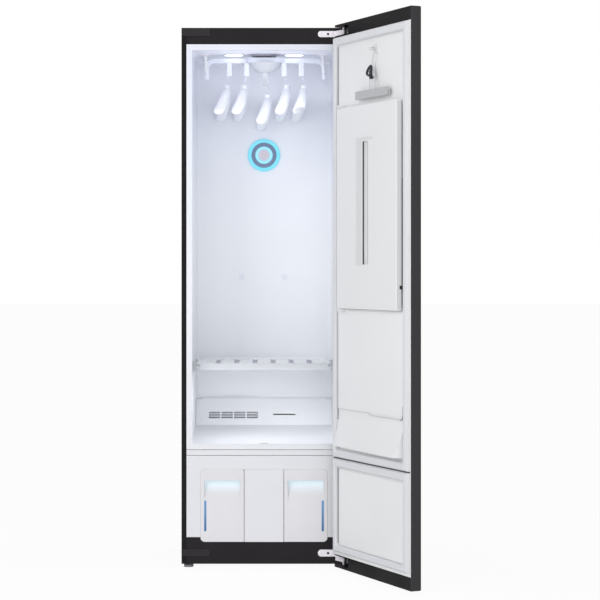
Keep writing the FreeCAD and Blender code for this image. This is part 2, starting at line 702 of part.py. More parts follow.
def tank_front(side, outline, x):
    wall = TANK_WALL
    grip_start = side * (TANK_BAY_HALF - GRIP_INSET)
    grip = sorted((grip_start, grip_start - side * GRIP_WIDTH))
    behind = prism(grip_outline(wall), grip[0] - wall, grip[1] + wall)
    recess = prism(grip_outline(0), grip[0], grip[1])
    inside = (x[0] + wall, x[1] - wall)
    hollow = box(inside, (wall - TANK_PROUD, FACE_END + 1), (TANK_BOTTOM + wall, TANK_TOP - wall))
    hollow = rounded(hollow, TANK_CORNER - wall, Y_AXIS, lambda c: abs(c.x) > TANK_BAY_HALF - wall - 1)
    front = outline.common(box(x, (-TANK_PROUD, FACE_END), (TANK_BOTTOM, TANK_TOP)))
    return cut(front, [hollow.cut(behind), recess])


def lamp_places():
    return [(-LAMP_OFFSET, LAMP_DEPTH), (LAMP_OFFSET, LAMP_DEPTH)]


def lamp_lenses():
    lenses = []
    for x, d in lamp_places():
        flange = cylinder(LAMP_RADIUS, LAMP_PROUD, V(x, FRONT + d, CEILING - LAMP_PROUD))
        plug = cylinder(LAMP_RADIUS - 4 - SEAT_GAP, LINER + 6, V(x, FRONT + d, CEILING - LAMP_PROUD))
        lenses.append(fuse([flange, plug]))
    middle = (TANK_BAY_HALF + TANK_INNER) / 2
    wide, deep, tall = TANK_LAMP
    top = TANK_TOP + SIDE_CLEARANCE + BAY_WALL
    for x in (-middle, middle):
        lenses.append(box((x - wide / 2, x + wide / 2), (8, 8 + deep), (top, top + tall)))
    return group(lenses)


# ---- duct cover, filter, nozzle, hose
def duct_outline(inset):
    """The cover's section: a leaning face up to a narrow ledge at the back wall."""
    ledge = DUCT_TOP - inset
    return [(FLOOR_BACK + inset * 1.2, FLOOR_TOP - (inset and 5)), (DUCT_LEDGE_START + inset, ledge - 6),
            (DUCT_LEDGE_START + 4 + inset, ledge), (CHAMBER_DEPTH + (inset and 5), ledge),
            (CHAMBER_DEPTH + (inset and 5), FLOOR_TOP - (inset and 5))]


def duct_cover():
    half = DUCT_HALF_WIDTH
    cover = prism([(FRONT + d, z) for d, z in duct_outline(0.0)], -half, half)
    hollow = prism([(FRONT + d, z) for d, z in duct_outline(DUCT_SHEET)], -half + DUCT_SHEET, half - DUCT_SHEET)
    cuts = [hollow]
    face = (FLOOR_BACK, DUCT_LEDGE_START)
    for column in range(GRILLE_COLUMNS):
        for row in range(GRILLE_ROWS):
            left = GRILLE_LEFT + column * GRILLE_PITCH
            low = GRILLE_BOTTOM + row * GRILLE_ROW_PITCH
            cuts.append(box((left, left + GRILLE_SLOT), face, (low, low + GRILLE_ROW_HEIGHT)))
    cuts.append(box(STEAM_SLOT, face, STEAM_SLOT_Z))
    x, d = filter_box(SIDE_CLEARANCE)[:2]
    cuts.append(box(x, d, (DUCT_TOP - 10, DUCT_TOP + 1)))
    return cut(cover, cuts)


def filter_box(grow):
    middle = GRILLE_LEFT + (GRILLE_COLUMNS - 1) * GRILLE_PITCH / 2 + GRILLE_SLOT / 2
    back = CHAMBER_DEPTH - 3.0
    x = (middle - FILTER_WIDTH / 2 - grow, middle + FILTER_WIDTH / 2 + grow)
    d = (back - FILTER_THICKNESS - grow, back + grow)
    z = (DUCT_TOP + 4 - FILTER_HEIGHT, DUCT_TOP + 4)
    return x, d, z


def lint_filter():
    x, d, z = filter_box(0.0)
    frame = box(x, d, z)
    window = box((x[0] + 8, x[1] - 8), (d[0] - 1, d[0] + 2), (z[0] + 8, z[1] - 14))
    lip = box(((x[0] + x[1]) / 2 - 30, (x[0] + x[1]) / 2 + 30), (d[0] - 4, d[1]), (z[1], z[1] + 4))
    return cut(fuse([frame, lip]), [window])


def nozzle_ring(outer, inner, proud):
    start = V(0, FRONT + CHAMBER_DEPTH - proud, NOZZLE_HEIGHT)
    return ring(outer, inner, proud, start, Y_AXIS)


def nozzle_light_ring():
    first, second, third, fourth = NOZZLE_RADII
    outer = nozzle_ring(first, second + RING_CLEARANCE, NOZZLE_PROUD[0])
    inner = nozzle_ring(third - RING_CLEARANCE, fourth + RING_CLEARANCE, NOZZLE_PROUD[2])
    return group([outer, inner])


def nozzle_bezel():
    return nozzle_ring(NOZZLE_RADII[1], NOZZLE_RADII[2], NOZZLE_PROUD[1])


def nozzle_cap():
    radius, proud = NOZZLE_RADII[3], NOZZLE_PROUD[3]
    cap = cylinder(radius, proud, V(0, FRONT + CHAMBER_DEPTH - proud, NOZZLE_HEIGHT), Y_AXIS)
    holes = []
    for around, count in NOZZLE_HOLE_RINGS:
        for number in range(count):
            turn = 2 * math.pi * number / count
            x, rise = around * math.cos(turn), around * math.sin(turn)
            place = V(x, FRONT + CHAMBER_DEPTH - proud - 1, NOZZLE_HEIGHT + rise)
            holes.append(cylinder(NOZZLE_HOLE_RADIUS, proud - 2, place, Y_AXIS))
    return cut(cap, holes)


def hose_end():
    return HOSE_END[0], CHAMBER_DEPTH - HOSE_END[1]


def steam_hose():
    x, d = hose_end()
    gx, gd = GENERATOR[0] + 30, GENERATOR[1] + 20
    top = TRAY_TOP + GENERATOR[4] + 14
    first, second = (FLOOR_TOP - drop for drop in HOSE_BENDS)
    points = [(gx, FRONT + gd, top), (gx, FRONT + gd, first), (x, FRONT + d, second),
              (x, FRONT + d, FLOOR_TOP + 12)]
    return tube(points, HOSE_RADIUS, 40.0, HOSE_RADIUS - 2.0)


# ---- shelf
def shelf():
    half = SHELF_HALF_WIDTH
    low = SHELF_TOP - SHELF_SHEET
    deck = box((-half, half), (SHELF_FRONT, SHELF_BACK), (low, SHELF_TOP))
    deck = rounded(deck, 10.0, Z_AXIS)
    lip_half = half - LEDGE_WIDTH / 2 - SIDE_CLEARANCE
    lip_d = (SHELF_FRONT, SHELF_FRONT + SHELF_SHEET)
    lip = box((-lip_half, lip_half), lip_d, (SHELF_TOP - SHELF_LIP, SHELF_TOP))
    rear_d = (SHELF_BACK - SHELF_SHEET, SHELF_BACK)
    rear = box((-half + 10, half - 10), rear_d, (low, SHELF_TOP + SHELF_REAR_LIP))
    slots = []
    for number in range(SHELF_SLOTS):
        x = (number - (SHELF_SLOTS - 1) / 2) * SHELF_SLOT_PITCH
        slot = box((x - SHELF_SLOT_WIDTH / 2, x + SHELF_SLOT_WIDTH / 2),
                   (SHELF_FRONT + SHELF_SLOT_MARGIN, SHELF_BACK - SHELF_SLOT_MARGIN), (low - 1, SHELF_TOP + 1))
        slots.append(rounded(slot, SHELF_SLOT_WIDTH / 2 - 0.5, Z_AXIS))
    return cut(fuse([deck, lip, rear]), slots)


def shelf_supports():
    low = SHELF_TOP - SHELF_SHEET
    wall = OPENING_HALF_WIDTH
    edge = SHELF_HALF_WIDTH + SIDE_CLEARANCE
    start = SHELF_FRONT + SHELF_SHEET + SIDE_CLEARANCE
    ledge = box((edge - LEDGE_WIDTH / 2, wall), (start, SHELF_BACK - 12), (low - LEDGE_THICKNESS, low))
    bracket = box((edge, wall), (SHELF_FRONT - 6, SHELF_FRONT + BRACKET_LENGTH), (low - 25, SHELF_TOP + 7))
    right = fuse([ledge, bracket])
    clips = []
    for x, z in CLIP_PLACES:
        clips.append(cylinder(12.0, 4.0, V(x, FRONT + CHAMBER_DEPTH - 4, z), Y_AXIS))
    return group([mirrored(right), right] + clips)


# ---- hanger rail
def post(x):
    """A hook post: two cheeks and a front skin round the cross pin that a hook hangs on."""
    wide, deep, tall = POST_SIZE
    y = RAIL_Y - FRONT
    body = box((x - wide / 2, x + wide / 2), (y - deep / 2, y + deep / 2), (0, tall + 1))
    inner = wide / 2 - POST_CHEEK
    room = box((x - inner, x + inner), (y - deep / 2 + POST_SKIN, y + deep), (-1, tall - 14))
    pin = cylinder(HOOK_PIN_RADIUS, wide - 2, V(x - wide / 2 + 1, RAIL_Y, HOOK_PIN_HEIGHT), X_AXIS)
    return fuse([body.cut(room), pin])


def hook_pin_z(number):
    """The height of a post's cross pin; the middle post hangs under the dome."""
    low = DOME_LOW - POST_SIZE[2] if POST_PLACES[number] == 0 else POST_LOW
    return low + HOOK_PIN_HEIGHT


def hanger_rail():
    tall, deep = RAIL_BAR
    half = RAIL_HALF_LENGTH
    y = RAIL_DEPTH
    leg = RAIL_LEG_WIDTH
    outer_x = half + leg / 2
    bar = box((-outer_x, outer_x), (y - deep / 2, y + deep / 2), (RAIL_TOP - tall - RAIL_LEG, RAIL_TOP))
    bar = rounded(bar, RAIL_BEND, Y_AXIS, lambda c: c.z > RAIL_TOP - 1)
    under = box((-half + leg / 2, half - leg / 2), (y - deep, y + deep), (RAIL_LOW - RAIL_LEG - 1, RAIL_LOW))
    under = rounded(under, RAIL_BEND - leg, Y_AXIS, lambda c: c.z > RAIL_LOW - 1)
    wide, block_deep = BLOCK_SIZE
    block = box((-wide / 2, wide / 2), (y - block_deep / 2, y + block_deep / 2), (RAIL_LOW, RAIL_TOP))
    block = rounded(block, 30.0, Z_AXIS)
    parts = [bar.cut(under), block]
    for place in POST_PLACES:
        if place:
            hanging = post(place)
            hanging.translate(V(0, 0, POST_LOW))
            parts.append(hanging)
    pin_reach = deep / 2 + ARM_THICKNESS + 3.0
    for x in (-half, half):
        parts.append(cylinder(ARM_PIN_RADIUS, pin_reach, V(x, RAIL_Y - pin_reach, ARM_PIN), Y_AXIS))
        parts.append(cylinder(ARM_PIN_RADIUS + 2.5, 1.5, V(x, RAIL_Y - pin_reach - 1.5, ARM_PIN), Y_AXIS))
    across = CRANK_PIN_RADIUS + CRANK_SLOT_CLEARANCE
    slot_half = CRANK_RADIUS + CRANK_PIN_RADIUS + 2
    slot = box((-across, across), (y - slot_half, y + slot_half - CRANK_RADIUS), (RAIL_LOW + 3, RAIL_TOP + 1))
    rail = cut(fuse(parts), [slot])
    rail.translate(V(RAIL_PARK, 0, 0))
    return rail


def rail_cover():
    """The dome under the rail's middle block, with the middle hook post."""
    radius = (DOME_RADIUS ** 2 + DOME_HEIGHT ** 2) / (2 * DOME_HEIGHT)
    centre = V(0, RAIL_Y, DOME_LOW + radius)
    shell = Part.makeSphere(radius, centre).cut(Part.makeSphere(radius - DOME_WALL, centre))
    wide = DOME_RADIUS + 5
    shell = shell.common(box((-wide, wide), (RAIL_DEPTH - wide, RAIL_DEPTH + wide), (DOME_LOW - 1, RAIL_LOW)))
    hanging = post(0.0)
    hanging.translate(V(0, 0, DOME_LOW - POST_SIZE[2] + 2))
    rib = box((-6, 6), (RAIL_DEPTH - 12, RAIL_DEPTH + 12), (DOME_LOW + 1, RAIL_LOW))
    cover = fuse([shell, hanging, rib])
    cover.translate(V(RAIL_PARK, 0, 0))
    return cover


def crank_angle():
    return RAIL_PARK * CRANK_RATE


def drive_crank():
    disc_radius, disc = CRANK_DISC
    low = RAIL_TOP + 1.5
    plate = cylinder(disc_radius, disc, V(0, RAIL_Y, low))
    shaft = cylinder(CRANK_SHAFT_RADIUS, 30.0, V(0, RAIL_Y, low))
    turn = crank_angle()
    place = V(CRANK_RADIUS * math.sin(turn), RAIL_Y - CRANK_RADIUS * math.cos(turn), RAIL_TOP - 10)
    pin = cylinder(CRANK_PIN_RADIUS, low + disc - RAIL_TOP + 10, place)
    return fuse([plate, shaft, pin])


def drive_motor():
    boss_low = RAIL_TOP + 1.5 + CRANK_DISC[1] + 1.0
    boss = cylinder(DRIVE_BOSS_RADIUS, CEILING + LINER - boss_low, V(0, RAIL_Y, boss_low))
    plate = box((-70, 70), (RAIL_DEPTH - 60, RAIL_DEPTH + 60), (CEILING + LINER, CEILING + LINER + 6))
    motor = cylinder(MOTOR_RADIUS, MOTOR_HEIGHT, V(0, RAIL_Y, CEILING + LINER))
    bore = cylinder(CRANK_SHAFT_RADIUS + FIT, 40.0, V(0, RAIL_Y, boss_low - 1))
    bore_stop = RAIL_TOP + 1.5 + 30.0 + 1.0
    bore = bore.common(box((-20, 20), (RAIL_DEPTH - 20, RAIL_DEPTH + 20), (boss_low - 1, bore_stop)))
    return cut(fuse([boss, plate, motor]), [bore])


def swing_tilt():
    return math.degrees(RAIL_PARK / ARM_LENGTH)


def swing_arm(side):
    """A strip from its ceiling bracket down to the pin at the rail's end, where its hole is oblong."""
    x = side * RAIL_HALF_LENGTH
    front = RAIL_DEPTH - RAIL_BAR[1] / 2 - 1.0 - ARM_THICKNESS
    d = (front, front + ARM_THICKNESS)
    rise = ARM_LENGTH * (1 / math.cos(RAIL_TRAVEL / ARM_LENGTH) - 1)
    strip = box((x - ARM_WIDTH / 2, x + ARM_WIDTH / 2), d, (ARM_PIN - rise - 8, ARM_PIVOT + 6))
    strip = rounded(strip, ARM_WIDTH / 2 - 0.5, Y_AXIS)
    start = V(x, FRONT + front - 1, ARM_PIVOT)
    bore = cylinder(ARM_PIN_RADIUS + FIT, ARM_THICKNESS + 2, start, Y_AXIS)
    loose = ARM_PIN_RADIUS + LOOSE + 0.2
    oblong = box((x - loose, x + loose), (d[0] - 1, d[1] + 1), (ARM_PIN - rise - loose, ARM_PIN + loose))
    strip = cut(strip, [bore, rounded(oblong, loose - 0.05, Y_AXIS)])
    strip.rotate(V(x, 0, ARM_PIVOT), Y_AXIS, -swing_tilt())
    return strip


def swing_brackets():
    brackets = []
    front = RAIL_DEPTH - RAIL_BAR[1] / 2 - 1.0 - ARM_THICKNESS
    for side in (-1, 1):
        x = side * RAIL_HALF_LENGTH
        foot = box((x - 16, x + 16), (front - 8, RAIL_DEPTH + 8), (CEILING - 2.5, CEILING))
        behind = front + ARM_THICKNESS
        ear = box((x - 6, x + 6), (behind + 0.5, behind + 4), (ARM_PIVOT - 4, CEILING))
        pin = cylinder(ARM_PIN_RADIUS, ARM_THICKNESS + 4, V(x, FRONT + front - 0.5, ARM_PIVOT), Y_AXIS)
        brackets.append(fuse([foot, ear, pin]))
    return group(brackets)


# ---- garment hangers
def half_ring(start, top, end):
    """Half a turn of hanger wire that starts straight up."""
    arc = Part.Wire([Part.Arc(start, top, end).toShape()])
    section = Part.Wire(Part.makeCircle(WIRE_RADIUS, start, Z_AXIS))
    return arc.makePipeShell([section], True, False)


def hanger_body():
    """One contoured hanger, with the top of its neck at the origin."""
    stations = [(-along, side, down, half_wide, half_tall)
                for along, side, down, half_wide, half_tall in reversed(HANGER_SECTIONS[1:])]
    stations += list(HANGER_SECTIONS)
    wires = []
    for along, side, down, half_wide, half_tall in stations:
        circle = Part.Wire(Part.makeCircle(1.0, V(0, 0, 0), Y_AXIS))
        matrix = FreeCAD.Matrix()
        matrix.scale(half_wide, 1.0, half_tall)
        oval = circle.transformGeometry(matrix)
        oval.translate(V(side, along, -down))
        wires.append(oval)
    body = Part.makeLoft(wires, True, False)
    neck = cylinder(NECK_RADIUS, 16.0, V(0, 0, -16.0))
    return fuse([body, neck])


def garment_hanger(number):
    place = POST_PLACES[number]
    lean = math.copysign(NECK_SHIFT, place) if place else NECK_SHIFT
    pin_z = hook_pin_z(number) + (2 if place == 0 else 0)
    x = place + RAIL_PARK
    round_pin = HOOK_PIN_RADIUS + WIRE_RADIUS + LOOSE
    body = hanger_body()
    body.translate(V(x + lean, RAIL_Y, pin_z - NECK_DROP))
    crook = half_ring(V(x, RAIL_Y + round_pin, pin_z), V(x, RAIL_Y, pin_z + round_pin),
                      V(x, RAIL_Y - round_pin, pin_z))
    stem = tube([(x, RAIL_Y - round_pin, pin_z), (x, RAIL_Y - round_pin, pin_z - 9),
                 (x + lean, RAIL_Y, pin_z - 36), (x + lean, RAIL_Y, pin_z - NECK_DROP - 4)], WIRE_RADIUS, 8.0)
    return fuse([body, crook, stem])


# ---- hinges on the case
def strip_outline():
    """The goose-neck strip in plan, from the front plate to the pin."""
    start = V(PLATE_X[1] + 3, FRONT - HINGE_PLATE_SHEET / 2, 0)
    end = V(HINGE_X, HINGE_Y, 0)
    along = end.sub(start).normalize()
    across = V(-along.y, along.x, 0) * (HINGE_ARM_THICKNESS / 2)
    corners = [start.add(across), end.add(across), end.sub(across), start.sub(across)]
    return [(corner.x, corner.y) for corner in corners]


def hinge_bracket(plate_z, arm_z):
    left, right = PLATE_X
    thick = HINGE_PLATE_SHEET
    plate = box((left, right + 6), (-thick, 0), plate_z)
    plate = rounded(plate, (plate_z[1] - plate_z[0]) / 2 - 0.5, Y_AXIS, lambda c: c.x < left + 1)
    strip = plan(strip_outline(), *arm_z)
    strip = strip.cut(box((0, HALF + 50), (0, 20), arm_z))
    eye = cylinder(HINGE_EYE_RADIUS, arm_z[1] - arm_z[0], V(HINGE_X, HINGE_Y, arm_z[0]))
    bore = cylinder(HINGE_PIN_RADIUS + 0.02, arm_z[1] - arm_z[0] + 2, V(HINGE_X, HINGE_Y, arm_z[0] - 1))
    middle = sum(plate_z) / 2
    hole = cylinder(4.5, thick + 2, V(PLATE_HOLE, FRONT - thick - 1, middle), Y_AXIS)
    screws = []
    for x in PLATE_SCREWS:
        screws.append(cylinder(SCREW_RADIUS + SEAT_GAP, thick + 2, V(x, FRONT - thick - 1, middle), Y_AXIS))
    return cut(fuse([plate, strip, eye]), [bore, hole] + screws)


def hinge_brackets():
    return group([hinge_bracket(PLATE_TOP_Z, PLATE_TOP_Z), hinge_bracket(PLATE_BOTTOM_Z, ARM_BOTTOM_Z)])


def pocket_z():
    """Heights of the hinge pockets in the door's upper and lower bands."""
    upper = (DOOR_TOP - FRAME_BAND + POCKET_MARGIN - 2, DOOR_TOP - POCKET_MARGIN)
    lower = (DOOR_LOW + POCKET_MARGIN, DOOR_LOW + FRAME_BAND - POCKET_MARGIN + 4)
    return upper, lower


def hinge_pins():
    pins = []
    for low, high in pocket_z():
        pins.append(cylinder(HINGE_PIN_RADIUS, high - low + 8, V(HINGE_X, HINGE_Y, low - 4)))
    return group(pins)


def hinge_screws():
    """The screws that hold the hinge plates to the front rails."""
    thick = HINGE_PLATE_SHEET
    screws = []
    for x, z in screw_places():
        shank = cylinder(SCREW_RADIUS, SCREW_LENGTH, V(x, FRONT - thick, z), Y_AXIS)
        head = cylinder(SCREW_RADIUS + 2, SCREW_HEAD, V(x, FRONT - thick - SCREW_HEAD, z), Y_AXIS)
        screws.append(fuse([shank, head]))
    return group(screws)


def corner_covers():
    left = -HALF
    covers = []
    for z, lower in ((BLANK_TOP_Z, False), (BLANK_BOTTOM_Z, True)):
        cover = box((left, left + BLANK_WIDTH), (-3, 0), z)
        if lower:
            cover = rounded(cover, BLANK_CORNER, Y_AXIS, lambda c: c.x > left + 9)
        covers.append(cover)
    return group(covers)


# ---- door
def door_glass():
    return on_door(door_box((0, WIDTH), (-DOOR_THICKNESS, FRAME_FLOOR), (DOOR_LOW + 1, DOOR_TOP - 1)))


def door_frame():
    """A folded tray with a closed band at the top and bottom, and a pocket there for each hinge arm."""
    shell = door_box((0, WIDTH), (FRAME_FLOOR, 0), (DOOR_LOW, DOOR_TOP))
    low, high = DOOR_LOW + FRAME_BAND, DOOR_TOP - FRAME_BAND
    wall = FRAME_WALL
    cuts = [door_box((wall, WIDTH - wall), (FRAME_FLOOR + FRAME_BACK, 1), (low, high))]
    inside = (FRAME_FLOOR + FRAME_BACK, -wall)
    after = (POCKET_LENGTH + wall, WIDTH - wall)
    cuts.append(door_box(after, inside, (high + wall, DOOR_TOP - wall)))
    cuts.append(door_box(after, inside, (DOOR_LOW + wall, low - wall)))
    holes = []
    for z in pocket_z():
        cuts.append(door_box((-1, POCKET_LENGTH), (FRAME_FLOOR - 1, 1), z))
        holes.append(cylinder(bush_radius() + 0.02, z[1] - z[0] + 10, V(HINGE_X, HINGE_Y, z[0] - 5)))
    return on_door(cut(shell, cuts + holes))


def bush_radius():
    return HINGE_PIN_RADIUS + FIT + 1.2


def door_liner():
    low, high = DOOR_LOW + FRAME_BAND, DOOR_TOP - FRAME_BAND
    edge = FRAME_WALL + SEAT_GAP
    z = (low + SEAT_GAP, high - SEAT_GAP)
    base = door_box((edge, WIDTH - edge), (FRAME_FLOOR + FRAME_BACK + SEAT_GAP, 0), z)
    inner = edge + LINER
    hollow = door_box((inner, WIDTH - inner), (FRAME_FLOOR - 9, -LINER), (z[0] + LINER, z[1] - LINER))
    frame_width = GASKET_WIDTH + GASKET_MARGIN + PANEL_INSET
    low_panel = (GASKET_LOW + GASKET_LOW_BAR + GASKET_MARGIN, GASKET_SPLIT - 1 - frame_width)
    split_top = GASKET_SPLIT + 1 + frame_width
    layer = door_box(PANEL_S, (-1, LAYER_RAISE), (LAYER_BOTTOM, PRESS_Z[0] - 2))
    layer = rounded(layer, 12.0, Y_AXIS, lambda c: c.z < LAYER_BOTTOM + 1 and c.x < 0)
    forms = [
        door_box(PANEL_S, (-1, DOOR_PANEL_RAISE), (split_top, UPPER_PANEL_TOP)),
        door_box(PANEL_S, (-1, LOWER_RAISE), low_panel),
        layer,
        drip_ramp(0),
    ]
    behind = [
        panel_back(DOOR_PANEL_RAISE, (split_top, UPPER_PANEL_TOP)),
        panel_back(LOWER_RAISE, low_panel),
        panel_back(LAYER_RAISE, (LAYER_BOTTOM, PRESS_Z[0] - 2)),
        drip_ramp(LINER),
    ]
    return on_door(cut(fuse([base] + forms), [hollow] + behind))


def panel_back(rise, z):
    """The hollow behind a raised panel, which leaves the liner's own thickness."""
    s = (PANEL_S[0] + LINER, PANEL_S[1] - LINER)
    return door_box(s, (-LINER - 1, rise - LINER), (z[0] + LINER, z[1] - LINER))


def drip_ramp(inset):
    """The flaring lip that leads drips into the chamber's channel; it stands out most at the free side."""
    start, end = PANEL_S[0] + inset, PANEL_S[1] - inset
    foot = -inset - 1 if inset else 0
    wires = []
    for step in range(RAMP_STEPS + 1):
        part = step / RAMP_STEPS
        z = RAMP_TOP - inset + (RAMP_BOTTOM - RAMP_TOP + 2 * inset) * part
        near, far = (RAMP_START + reach * part ** RAMP_HOLLOW - inset for reach in RAMP_REACH)
        corners = [door_point(s, p, z) for s, p in ((start, foot), (start, near), (end, far), (end, foot))]
        wires.append(Part.makePolygon(corners + corners[:1]))
    return Part.makeLoft(wires, True, True)


def gasket_loop(z0, z1, low_bar):
    s = (GASKET_INSET, WIDTH - GASKET_INSET)
    outer = door_box(s, (0, GASKET_HEIGHT), (z0, z1))
    inner = door_box((s[0] + GASKET_WIDTH, s[1] - GASKET_WIDTH), (-1, GASKET_HEIGHT + 1),
                     (z0 + low_bar, z1 - GASKET_WIDTH))
    outer = rounded(outer, 8.0, Y_AXIS)
    return outer.cut(inner).Solids[0]


def door_gaskets():
    upper = gasket_loop(GASKET_SPLIT + 1, GASKET_TOP, GASKET_WIDTH)
    lower = gasket_loop(GASKET_LOW, GASKET_SPLIT - 1, GASKET_LOW_BAR)
    return on_door(group([upper, lower]))


def press_panel():
    """The press: a moulded housing with a grip recess, and the flat pad that closes its back."""
    panel = door_box(PRESS_S, PRESS_P, PRESS_Z)
    panel = rounded(panel, PRESS_CORNER, Y_AXIS)
    panel = rounded(panel, 4.0, Z_AXIS)
    back, front = PRESS_P
    wall = PRESS_WALL
    s0, s1 = PRESS_GRIP_S
    z0, z1 = PRESS_GRIP_Z
    floor = front - PRESS_GRIP_DEPTH
    hollow = door_box((PRESS_S[0] + wall, PRESS_S[1] - wall), (back - 1, front - wall),
                      (PRESS_Z[0] + wall, PRESS_Z[1] - wall))
    hollow = rounded(hollow, PRESS_CORNER - wall, Y_AXIS)
    kept = [door_box((s0 - wall, s1 + wall), (floor - wall, front), (z0 - wall, z1 + wall))]
    holes = []
    for z in (PRESS_Z[0], PRESS_Z[1]):
        boss = PRESS_BOSS / 2
        kept.append(door_box((PRESS_S[0], PRESS_PIVOT_S + boss), (back + wall, front), (z - 16, z + 16)))
        holes.append(cylinder(PRESS_PIN_RADIUS + FIT, 26.0, door_point(PRESS_PIVOT_S, PRESS_PIVOT_P, z - 13)))
    s, p, z = latch_room(LOOSE)
    kept.append(door_box((s[0] - wall, s[1]), (back + wall, front), (z[0] - wall, z[1] + wall)))
    holes.append(door_box((s[0], s[1] + 9), p, z))
    recess = door_box((s0, s1), (floor, front + 1), (z0, z1))
    bar = door_box((s1 - PRESS_GRIP_BAR, s1), (floor - 1, front - 1), (z0, z1))
    housing = fuse([cut(panel, [hollow.cut(kept), recess] + holes), bar])
    edge = wall + SEAT_GAP
    pad = door_box((PRESS_S[0] + edge, PRESS_S[1] - edge), (back, back + wall - SEAT_GAP),
                   (PRESS_Z[0] + edge, PRESS_Z[1] - edge))
    pad = rounded(pad, PRESS_CORNER - wall, Y_AXIS)
    return on_door(group([housing, pad]))


def latch_room(grow):
    long, wide = LATCH_SIZE
    end = PRESS_S[1] + LATCH_PROUD
    middle = sum(PRESS_P) / 2
    back = end - long - (LATCH_TRAVEL + LOOSE if grow else 0)
    half = wide / 2 + grow
    return (back, end), (middle - half, middle + half), (LATCH_Z[0] - grow, LATCH_Z[1] + grow)


def press_latch():
    s, p, z = latch_room(0.0)
    return on_door(door_box(s, p, z))


def door_fittings():
    """The press panel's hinge ears with their pins, the hook peg and the door's four hinge bushes."""
    pieces = []
    for sign, z in ((1, PRESS_Z[1]), (-1, PRESS_Z[0])):
        near, far = sorted((z + sign * 1.0, z + sign * 11.0))
        ear = door_box((PRESS_S[0] - 3, PRESS_S[0] + 19), (DOOR_PANEL_RAISE, PRESS_P[1] - 2), (near, far))
        if sign < 0:
            ear = ear.cut(door_box(PANEL_S, (0, LAYER_RAISE), (near - 1, PRESS_Z[0] - 2)))
        foot = z - 11.0 if sign > 0 else z - 3.0
        pin = cylinder(PRESS_PIN_RADIUS, 14.0, door_point(PRESS_PIVOT_S, PRESS_PIVOT_P, foot))
        pieces.append(fuse([ear, pin]))
    plate_p = (DOOR_PANEL_RAISE, DOOR_PANEL_RAISE + 3)
    plate = door_box((PEG_S - 14, PEG_S + 14), plate_p, (PEG_Z - 16, PEG_Z + 16))
    peg = cylinder(PEG_RADIUS, 24.0, door_point(PEG_S, DOOR_PANEL_RAISE, PEG_Z), Y_AXIS)
    tip = cylinder(PEG_RADIUS + 2.5, 3.0, door_point(PEG_S, DOOR_PANEL_RAISE + 23, PEG_Z), Y_AXIS)
    pieces.append(fuse([plate, peg, tip]))
    for low, high in pocket_z():
        for z in (low - 4, high):
            pieces.append(ring(bush_radius(), HINGE_PIN_RADIUS + FIT, 4.0, V(HINGE_X, HINGE_Y, z)))
    return on_door(group(pieces))


# ---- trouser hanger on the door
def hanger_plane():
    return CLAMP_REAR_P + CLAMP_BAR / 2


def trouser_hanger():
    """The rear clamp bar with its wires, up to the hook over the peg."""
    p = hanger_plane()
    rear = door_box(CLAMP_S, (CLAMP_REAR_P, CLAMP_REAR_P + CLAMP_BAR), CLAMP_Z)
    rear = rounded(rear, 4.0, Y_AXIS)
    wire = WIRE_RADIUS
    hook = PEG_RADIUS + wire + LOOSE + 4.0
    top = PEG_Z + PEG_RADIUS + LOOSE + wire
    centre = top - hook
    crook = half_ring(door_point(PEG_S - hook, p, centre), door_point(PEG_S, p, top),
                      door_point(PEG_S + hook, p, centre))

    def run(points, bend):
        return tube([tuple(door_point(*point)) for point in points], wire, bend)

    stem = run([(PEG_S + hook, p, centre), (PEG_S + hook, p, centre - 14), (PEG_S, p, centre - 34),
                (PEG_S, p, LEVER_Z[1] - 4)], 8.0)
    fork = LEVER_Z[1] - 3
    legs = []
    for s in (PEG_S - 22, PEG_S + 22):
        legs.append(run([(PEG_S, p, fork), (s, p, LEVER_Z[0] - 2), (s, p, CLAMP_Z[1] - 4)], 6.0))
    knot = Part.makeSphere(wire * 2.2, door_point(PEG_S, p, fork))
    axle = cylinder(wire, 38.0, door_point(PEG_S + 19, p, LEVER_PIVOT_Z), X_AXIS)
    cheeks = []
    for s, z in clamp_pins():
        jaw_p = CLAMP_REAR_P + CLAMP_BAR + CLAMP_GAP
        pin = cylinder(CLAMP_PIN_RADIUS, 9.0, door_point(s + 1, jaw_p + CLAMP_BAR / 2, z), X_AXIS)
        lug = door_box((s, s + LUG_WIDTH), (CLAMP_REAR_P, jaw_p + CLAMP_BAR), (z - LUG_HALF, z + LUG_HALF))
        cheeks.append(fuse([pin, lug]))
    return on_door(fuse([rear, crook, stem, axle, knot] + legs + cheeks))


def clamp_pins():
    z = CLAMP_Z[1] - 5.0
    return [(CLAMP_S[0] + 36.0, z), (CLAMP_S[1] - 24.0, z)]


def clamp_bar():
    """The front jaw; it hangs on two small pins at its top edge."""
    near = CLAMP_REAR_P + CLAMP_BAR + CLAMP_GAP
    bar = door_box(CLAMP_S, (near, near + CLAMP_BAR), CLAMP_Z)
    bar = rounded(bar, 4.0, Y_AXIS)
    cuts = []
    for s, z in clamp_pins():
        room = (s - LOOSE, s + LUG_WIDTH + LOOSE)
        cuts.append(door_box(room, (near - 1, near + CLAMP_BAR + 1), (z - LUG_HALF - 1.0, CLAMP_Z[1] + 1)))
        place = door_point(s + 1, near + CLAMP_BAR / 2, z)
        cuts.append(cylinder(CLAMP_PIN_RADIUS + FIT, 9.0 + LOOSE, place, X_AXIS))
    return on_door(cut(bar, cuts))


